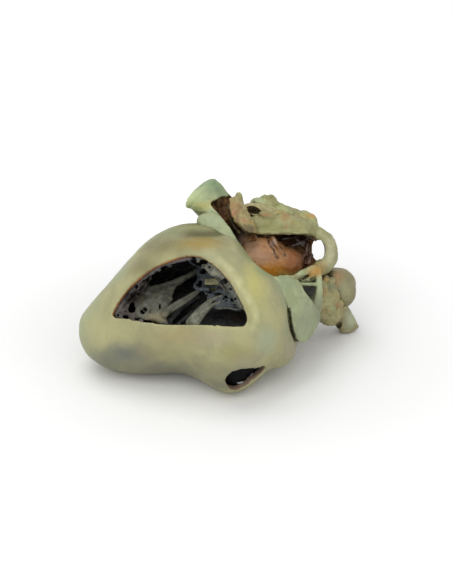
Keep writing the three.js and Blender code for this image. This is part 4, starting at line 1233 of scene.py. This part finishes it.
atrium_path = [(6, -7, 38), (19, -3, 43.5), (32, 1, 46.8), (43.5, 4, 49)]
atrium = stem(atrium_path, [13, 17, 16, 11.5], sides=12)
cut(atrium, stem(atrium_path, [10.4, 14.4, 13.4, 8.9], sides=12))
cut(atrium, through(atrium_window, BEFORE_BASE, -1))
remeshed(atrium, 0.7, 3)
cut(atrium, vein_mouth())
roughened(atrium, (5, 0.8), (1.2, 0.2))
placed(atrium, "left_atrium", olive, "heart_wall")

# Lining of the left atrium
# The orange-brown wall that bulges into the atrium, with cracks, and muscle strands at its far end, dark in
# painted shadow from the roof.
atrium_skin = stem(atrium_path, [10.8, 14.8, 13.8, 9.3], sides=12)
cut(atrium_skin, stem(atrium_path, [9.4, 13.4, 12.4, 7.9], sides=12))
cut(atrium_skin, through(atrium_window, BEFORE_BASE, -1))
bulge = clay([
    atrium_skin,
    *lumps(
        (19, -4, 46, 14.6, 11, 12, 0, 24, 0), (28.4, -3.4, 43.4, 10.4, 9, 7, 0, 12, 0),
        (30.6, -3, 45.6, 8.4, 8, 6.8, 0, 16, 0),
    ),
    stem([(31, -1, 52.4), (35.6, 0, 53.4), (40.6, 2, 55.8)], [0.8, 0.9, 1.1]),
    stem([(34.6, 1, 56.6), (37, 0.6, 54.2), (39.6, 1, 51)], [1, 0.8, 0.9]),
    stem([(28, 0, 55.8), (31.6, 1, 56.4), (36, 3, 57)], [0.8, 0.8, 0.8]),
    stem([(38, 1, 47), (40, 0, 50), (40.4, 0, 54)], [1.6, 1.3, 1]),
    stem([(23.4, -8, 57.4), (24.4, -11.6, 55.6), (25.4, -13.4, 53), (27, -13, 51)], [0.9, 1.0, 0.9, 0.5]),
    stem([(40.8, -2, 44.6), (41.2, -2, 46.6), (42.4, -1.4, 48.4)], [1.4, 1.1, 0.8]),
], 0.5, 3)
cut(bulge, vein_mouth())
for path in ([(21.4, -12, 57.4), (21.8, -14, 54.4), (23, -14.6, 52.4), (25, -14.2, 49), (27.2, -13, 46.8)],
             [(27.4, -12.6, 51), (28.6, -12, 49.6), (29.8, -11.4, 48)],
             [(25.4, -14, 48.6), (26, -13.6, 46.4)]):
    scored(bulge, path, 0.6, -1.1)
cracks = np.minimum(
    distance_to_path(corners_of(bulge)[:, [0, 2]],
                     [(21.5, 57.4), (22.4, 52.8), (24.4, 50.6), (25, 48.6), (26.3, 46.6)]),
    distance_to_path(corners_of(bulge)[:, [0, 2]], [(27.4, 52.4), (28.5, 51), (29.8, 47.8)]))
stored(bulge, "shade", np.exp(-(cracks / 0.5) ** 2))
roughened(bulge, (3.4, 0.9), (1.1, 0.25))
placed(bulge, "left_atrium_lining", painted("orange_brown_lining", (172, 128, 88), (148, 102, 62), [
    (13, -12, 54, 6, 14, 6, (138, 112, 88), 0.85),
    (14.6, -12, 47, 6, 14, 6, (188, 148, 118), 0.85),
    (23, -12, 41, 11, 14, 5, (178, 116, 22), 0.95),
    (20, -12, 46.6, 6, 12, 4, (170, 130, 98), 0.8),
    (30, -8, 38.6, 8, 12, 3.4, (184, 158, 78), 0.8),
    (33.6, -8, 46, 6, 12, 8, (128, 78, 34), 0.9),
    (38, -6, 45, 4, 12, 8, (92, 54, 36), 0.9),
    (32, -9, 41.6, 6, 10, 4, (124, 68, 6), 0.85),
    # The far upper end is nearly black: painted shadow cast by the roof
    (30, -2, 57, 11, 12, 4.4, (34, 26, 24), 0.98),
    (35, 0, 54.6, 10, 14, 6.4, (40, 30, 26), 0.98),
    (37, 0, 54.6, 9, 14, 6.4, (34, 26, 24), 0.98),
    (41.4, 0, 48, 4.4, 12, 10, (46, 24, 18), 0.98),
    (36.6, 0, 54, 2.6, 8, 2.4, (84, 76, 72), 0.7),
    (24, -13, 53.6, 1.8, 8, 3, (150, 130, 118), 0.9),
], crease=(40, 22, 13), mottle=3.4, crease_at=(0.08, 0.4), roughness=0.42), "atrium_lining")

# Ring at the vein's mouth
# A thick pale band that bends round the hole from the roof to the lower edge of the atrium.
ring = clay([
    stem([(40, -3, 60), (44.4, -3.4, 59), (48.2, -3.6, 56.2), (50.3, -3.6, 52.6), (50.8, -3.4, 48.8),
          (49.4, -3, 45), (46.4, -3, 42.6), (43.4, -4, 40.6)], [2.6, 2.8, 3.2, 3.4, 3.5, 3.6, 3.4, 2.6]),
    stem([(48.6, 1, 56), (51, 2, 52), (51, 2, 48), (49, 1, 45)], [2.4, 3, 3, 2.6]),
], 0.45, 4)
cut(ring, vein_mouth())
scored(ring, [(47, -6, 57.8), (50.4, -6.6, 54.2)], 1.4, 0.3)
roughened(ring, (3.2, 1.1), (1.1, 0.15))
placed(ring, "vein_mouth_rim", olive, "heart_wall")

# Left auricle
# A flap of two folds that hangs beside the base. Two holes open between the folds at its root.
flap = clay([
    sheet([
        [(34, -27.6, 9.2), (36.4, -25.4, 9.2), (38.4, -22.6, 10.6)],
        [(31.7, -31, 13.8), (36.6, -26.4, 13), (41.4, -19, 14.4)],
        [(30.6, -32.8, 20), (36.8, -26.8, 19.6), (44, -15.8, 20.4)],
        [(28.4, -34, 26), (34.8, -28.8, 25.8), (40.6, -19, 25.8)],
        [(26, -33.8, 32), (31.6, -30, 31.2), (36.6, -23.4, 31)],
        [(22.6, -32.4, 37.4), (28, -28.8, 37), (34, -22, 35.8)],
    ], 4.4),
    stem([(44.6, -8, 41.4), (45.2, -9, 36.4), (45.2, -10.4, 31), (44.2, -12, 26), (42.4, -13, 20)],
         [1.9, 1.5, 1.7, 2.4, 3]),
    stem([(32.6, -18, 35.2), (38, -15.4, 35), (44.4, -10.4, 34.8)], [1.0, 0.8, 1.0]),
    stem([(27, -25, 37.4), (33, -20, 37.6), (37.8, -14, 40.2), (43, -9, 42)], [1.6, 1.5, 1.5, 2.0]),
    stem([(40.6, -11, 40.6), (43, -10, 40)], [1.5, 1.8]),
    # A backing behind the two holes, painted dark as the shade in them
    ball((39.6, -1.4, 33), (7.6, 2.4, 9.6)),
    stem([(36, -13, 38), (37.4, -12, 36.4), (40, -11, 37.6), (42, -11, 38.6)], [0.7, 0.6, 0.6, 0.7]),
    ball((40.2, -11, 36.6), (0.9, 0.8, 0.8)),
], 0.45, 6)
scored(flap, [(41.6, -16, 25), (42, -15, 21), (41, -16, 16)], 1.2, -0.4)
marked(flap, "shade", beside_flap, 0.8)
roughened(flap, (3.4, 0.6), (1.1, 0.18))
placed(flap, "left_auricle", auricle_finish, "auricle")

# Great veins and fat at the far corner
# A fat domed stub, a knobbly mass of fat, and a short vein that stands on the table.
vein_finish = painted("grey_olive_vein", (148, 138, 100), (132, 128, 94), [
    (55, 10, 38, 4, 10, 5, (178, 142, 98), 0.75),
    (58, 12, 32, 5, 10, 6, (158, 158, 122), 0.7),
    (50, 8, 41, 4, 10, 3, (176, 168, 118), 0.6),
    (62, 22, 18, 5, 10, 6, (184, 190, 156), 0.85),
    (57, 18, 22, 5, 8, 3, (168, 170, 134), 0.6),
    # Darker in the notch of the low vein: painted shade
    (55.6, 16, 14.6, 2.2, 6, 3, (84, 94, 66), 0.8),
], mottle=4, crease=(60, 52, 34))
caudal = clay([
    stem([(44.6, 11, 31), (51.4, 15, 34.2), (56, 17.4, 35)], [7.4, 8.2, 8.2]),
    *lumps((53, 13, 37, 6, 6, 5.4), (56.9, 14.6, 31.9, 7.2, 7, 8.2)),
], 0.5, 6)
scored(caudal, [(49, 4, 38), (50.6, 6, 33), (50, 7, 28)], 1.4, -0.6)
roughened(caudal, (5, 0.7), (1.2, 0.15))
placed(caudal, "caudal_vena_cava", vein_finish, "vein")
corner_fat = clay([
    *lumps(
        (44, 5, 27.6, 9.4, 8.6, 9.6), (48, 3, 37.6, 2.4, 3, 2.2), (51, 5, 36, 2.6, 3, 2.4),
        (52.4, 6, 32.6, 2.2, 3, 3), (47.4, 1, 33, 3, 4, 3.4), (48.6, 2, 28, 4, 4, 4),
        (52, 6, 28.6, 3.6, 4, 3.6), (54.8, 9, 25.6, 3, 4, 3), (49.6, 4, 23.4, 4, 4.4, 3.6),
        (53, 10, 21.6, 3.6, 5, 3.4), (47.8, 4, 20, 2.6, 3.4, 2.2), (57, 13, 23.6, 2.4, 3, 2),
        (51.6, 2.6, 30.6, 1.5, 1.6, 1.4), (50.2, 0.6, 25.8, 1.6, 1.6, 1.5), (54, 5.6, 30.6, 1.4, 1.6, 1.3),
        (46.6, -1.6, 36, 1.4, 1.6, 1.3), (52.6, 4.6, 24.6, 1.5, 1.6, 1.3), (53.6, 14, 22.6, 5, 5.6, 5),
        (51, 9, 19.6, 5, 6, 4),
    ),
    stem([(51, 3, 37), (51.6, 3, 34), (53, 4.6, 31), (54.6, 7, 28.4)], [1.3, 1.5, 1.6, 1.3]),
], 0.45, 2)
roughened(corner_fat, (2.4, 1.3), (0.9, 0.25))
placed(corner_fat, "corner_fat", painted("stained_fat", (168, 164, 114), (148, 136, 92), [
    (47.6, 0, 37.6, 3, 6, 2.4, (186, 142, 78), 0.8),
    (50.4, 2, 33, 3, 6, 3, (116, 122, 98), 0.7),
    (47, 0, 31, 3, 6, 3, (164, 118, 66), 0.6),
    (49.6, 0, 27, 3, 6, 3, (170, 172, 122), 0.6),
    (55, 6, 25, 3, 6, 2.4, (164, 122, 84), 0.6),
    (52, 4, 23, 3, 6, 2.4, (132, 160, 112), 0.6),
    (48, 2, 22, 2.6, 6, 3, (120, 92, 54), 0.6),
    (50, 2, 19, 4, 6, 2.4, (150, 146, 110), 0.6),
], mottle=2.6, crease=(54, 42, 24), crease_at=(0.3, 0.75)), "fat")
low_vein = clay([
    stem([(53.4, 19, 25.4), (57.4, 24, 20.4), (61, 28, 15.4)], [5.8, 5.2, 4.6], flat_ends=True),
    stem([(58, 21, 22.4), (62.4, 24.6, 18), (65.2, 26.6, 14.8)], [2.2, 1.8, 1.0]),
    stem([(55, 20, 19), (57.4, 23, 15.2), (59.4, 25, 13.4)], [2.4, 2.0, 1.2]),
    stem([(65.2, 26.6, 14.8), (62, 25.4, 13.2), (58, 24, 12.6)], [1.0, 1.2, 1.2]),
], 0.42, 2)
cut(low_vein, stem([(57.6, 24, 20.4), (64, 30.6, 11.4)], [2.8, 3.2], flat_ends=True, sides=12))
cut(low_vein, ball((56.2, 16.6, 15), (1.7, 7, 2.8), (0, 28, 0)))
roughened(low_vein, (3, 0.6), (1, 0.15))
placed(low_vein, "lower_pulmonary_vein", vein_finish, "vein")

# Vessels at the back
# The aorta's arch, the right atrium and three veins, in the walls' own olive paint. They are out of sight
# from the front.
aorta_path = [(11, 4, 52), (14.4, 6, 61.5), (22, 9, 66.5), (32, 11, 65), (39, 14, 62)]
aorta = clay([stem(aorta_path, [7.5, 7.6, 7, 6.4, 6.2], flat_ends=True, sides=10)], 0.6, 4)
cut(aorta, stem([(22, 9, 66.5), (32, 11, 65), (41, 14.8, 61)], [4, 4.6, 4.5], flat_ends=True, sides=12))
cut(aorta, stem(atrium_path, [13, 17, 16, 11.5], sides=12))
roughened(aorta, (4, 0.6), (1.2, 0.2))
placed(aorta, "aorta", olive, "heart_wall")
right_atrium = clay(lumps(
    (11, 12, 43, 17.6, 12.6, 13.6, 0, 20, 0), (2, 14, 38, 9, 8, 8), (20, 16, 38, 9, 7, 8),
    (12, 19, 48, 9, 5.6, 6),
), 0.7, 6)
cut(right_atrium, stem(atrium_path, [13, 17, 16, 11.5], sides=12))
scored(right_atrium, [(-6, 18, 38), (4, 25, 42), (16, 25.6, 41), (26, 19, 36)], 2.4, -0.9)
roughened(right_atrium, (5, 1.0), (1.2, 0.2))
placed(right_atrium, "right_atrium", olive, "heart_wall")


def vein(name, path, radii, wall, *swellings_on_it):
    """A short vein with an open, slightly flared end."""
    body = clay([stem(path, radii, flat_ends=True, sides=10)] + list(swellings_on_it), 0.45, 3)
    ahead = Vector(path[-1]) + (Vector(path[-1]) - Vector(path[-2])).normalized() * 2
    cut(body, stem([path[1], path[-1], tuple(ahead)], [r - wall for r in (radii[1], radii[-1], radii[-1])],
                   flat_ends=True, sides=12))
    roughened(body, (3, 0.5), (1, 0.15))
    placed(body, name, vein_finish, "vein")


vein("cranial_vena_cava", [(-2, 14, 46), (0, 16, 56), (4, 16, 67)], [6.6, 5.6, 6], 1.7,
     ball((-1, 14.6, 50), (6.6, 6, 6)))
vein("azygos_vein", [(5, 18, 58), (11, 23, 59), (19, 25, 56)], [3, 2.7, 2.8], 1)
vein("upper_pulmonary_vein", [(33.8, 16.4, 51.4), (34.8, 20, 53.4), (36, 25, 55)], [4.8, 4.6, 4.8], 1.7)

# How open each spot is
# Each corner stores the share of the sky that it sees within a short reach. The finishes use it to
# paint shade into the hollows and light onto the ridges.
def sky_directions(count):
    """Directions that cover a ball evenly."""
    turn = math.pi * (3 - math.sqrt(5))
    for k in range(count):
        z = 1 - 2 * (k + 0.5) / count
        flat = math.sqrt(1 - z * z)
        yield (flat * math.cos(k * turn), flat * math.sin(k * turn), z)


def measure_openness(everything, reach=0.012, directions=32):
    """Stores openness at each corner of every piece."""
    bpy.ops.object.select_all(action="DESELECT")
    bpy.ops.mesh.primitive_cube_add(size=0.001)
    whole = bpy.context.object
    gather = Nodes(bpy.data.node_groups.new("gather", "GeometryNodeTree"))
    gather.tree.interface.new_socket("Geometry", in_out="OUTPUT", socket_type="NodeSocketGeometry")
    join = gather.add("GeometryNodeJoinGeometry")
    for piece in everything:
        gather.feed(gather.add("GeometryNodeObjectInfo", {"Object": piece}).outputs["Geometry"],
                    join.inputs[0])
    gather.add("NodeGroupOutput", {0: join.outputs[0]})
    applied(whole, "NODES", node_group=gather.tree)

    look = Nodes(bpy.data.node_groups.new("openness", "GeometryNodeTree"))
    for way in ("INPUT", "OUTPUT"):
        look.tree.interface.new_socket("Geometry", in_out=way, socket_type="NodeSocketGeometry")
    target = look.add("GeometryNodeObjectInfo", {"Object": whole}).outputs["Geometry"]
    normal = look.add("GeometryNodeInputNormal").outputs[0]
    place = look.add("GeometryNodeInputPosition").outputs[0]
    start = look.vector_math("MULTIPLY_ADD", normal, (0.0002,) * 3, place).outputs[0]
    seen = total = 0.0
    for direction in sky_directions(directions):
        weight = look.math("MAXIMUM", look.vector_math("DOT_PRODUCT", normal, direction).outputs["Value"], 0)
        ray = look.add("GeometryNodeRaycast", {
            "Target Geometry": target, "Source Position": start, "Ray Direction": direction,
            "Ray Length": reach,
        })
        missed = look.math("SUBTRACT", 1, ray.outputs["Is Hit"])
        seen = look.math("MULTIPLY_ADD", weight, missed, seen)
        total = look.math("MULTIPLY_ADD", weight, 1, total)
    store = look.add("GeometryNodeStoreNamedAttribute", {
        "Geometry": look.add("NodeGroupInput").outputs[0], "Name": "open",
        "Value": look.math("DIVIDE", seen, total),
    }, data_type="FLOAT", domain="POINT")
    look.add("NodeGroupOutput", {0: store.outputs[0]})
    for piece in everything:
        applied(piece, "NODES", node_group=look.tree)
    bpy.data.objects.remove(whole)
    bpy.data.node_groups.remove(look.tree)
    bpy.data.node_groups.remove(gather.tree)


measure_openness(pieces)
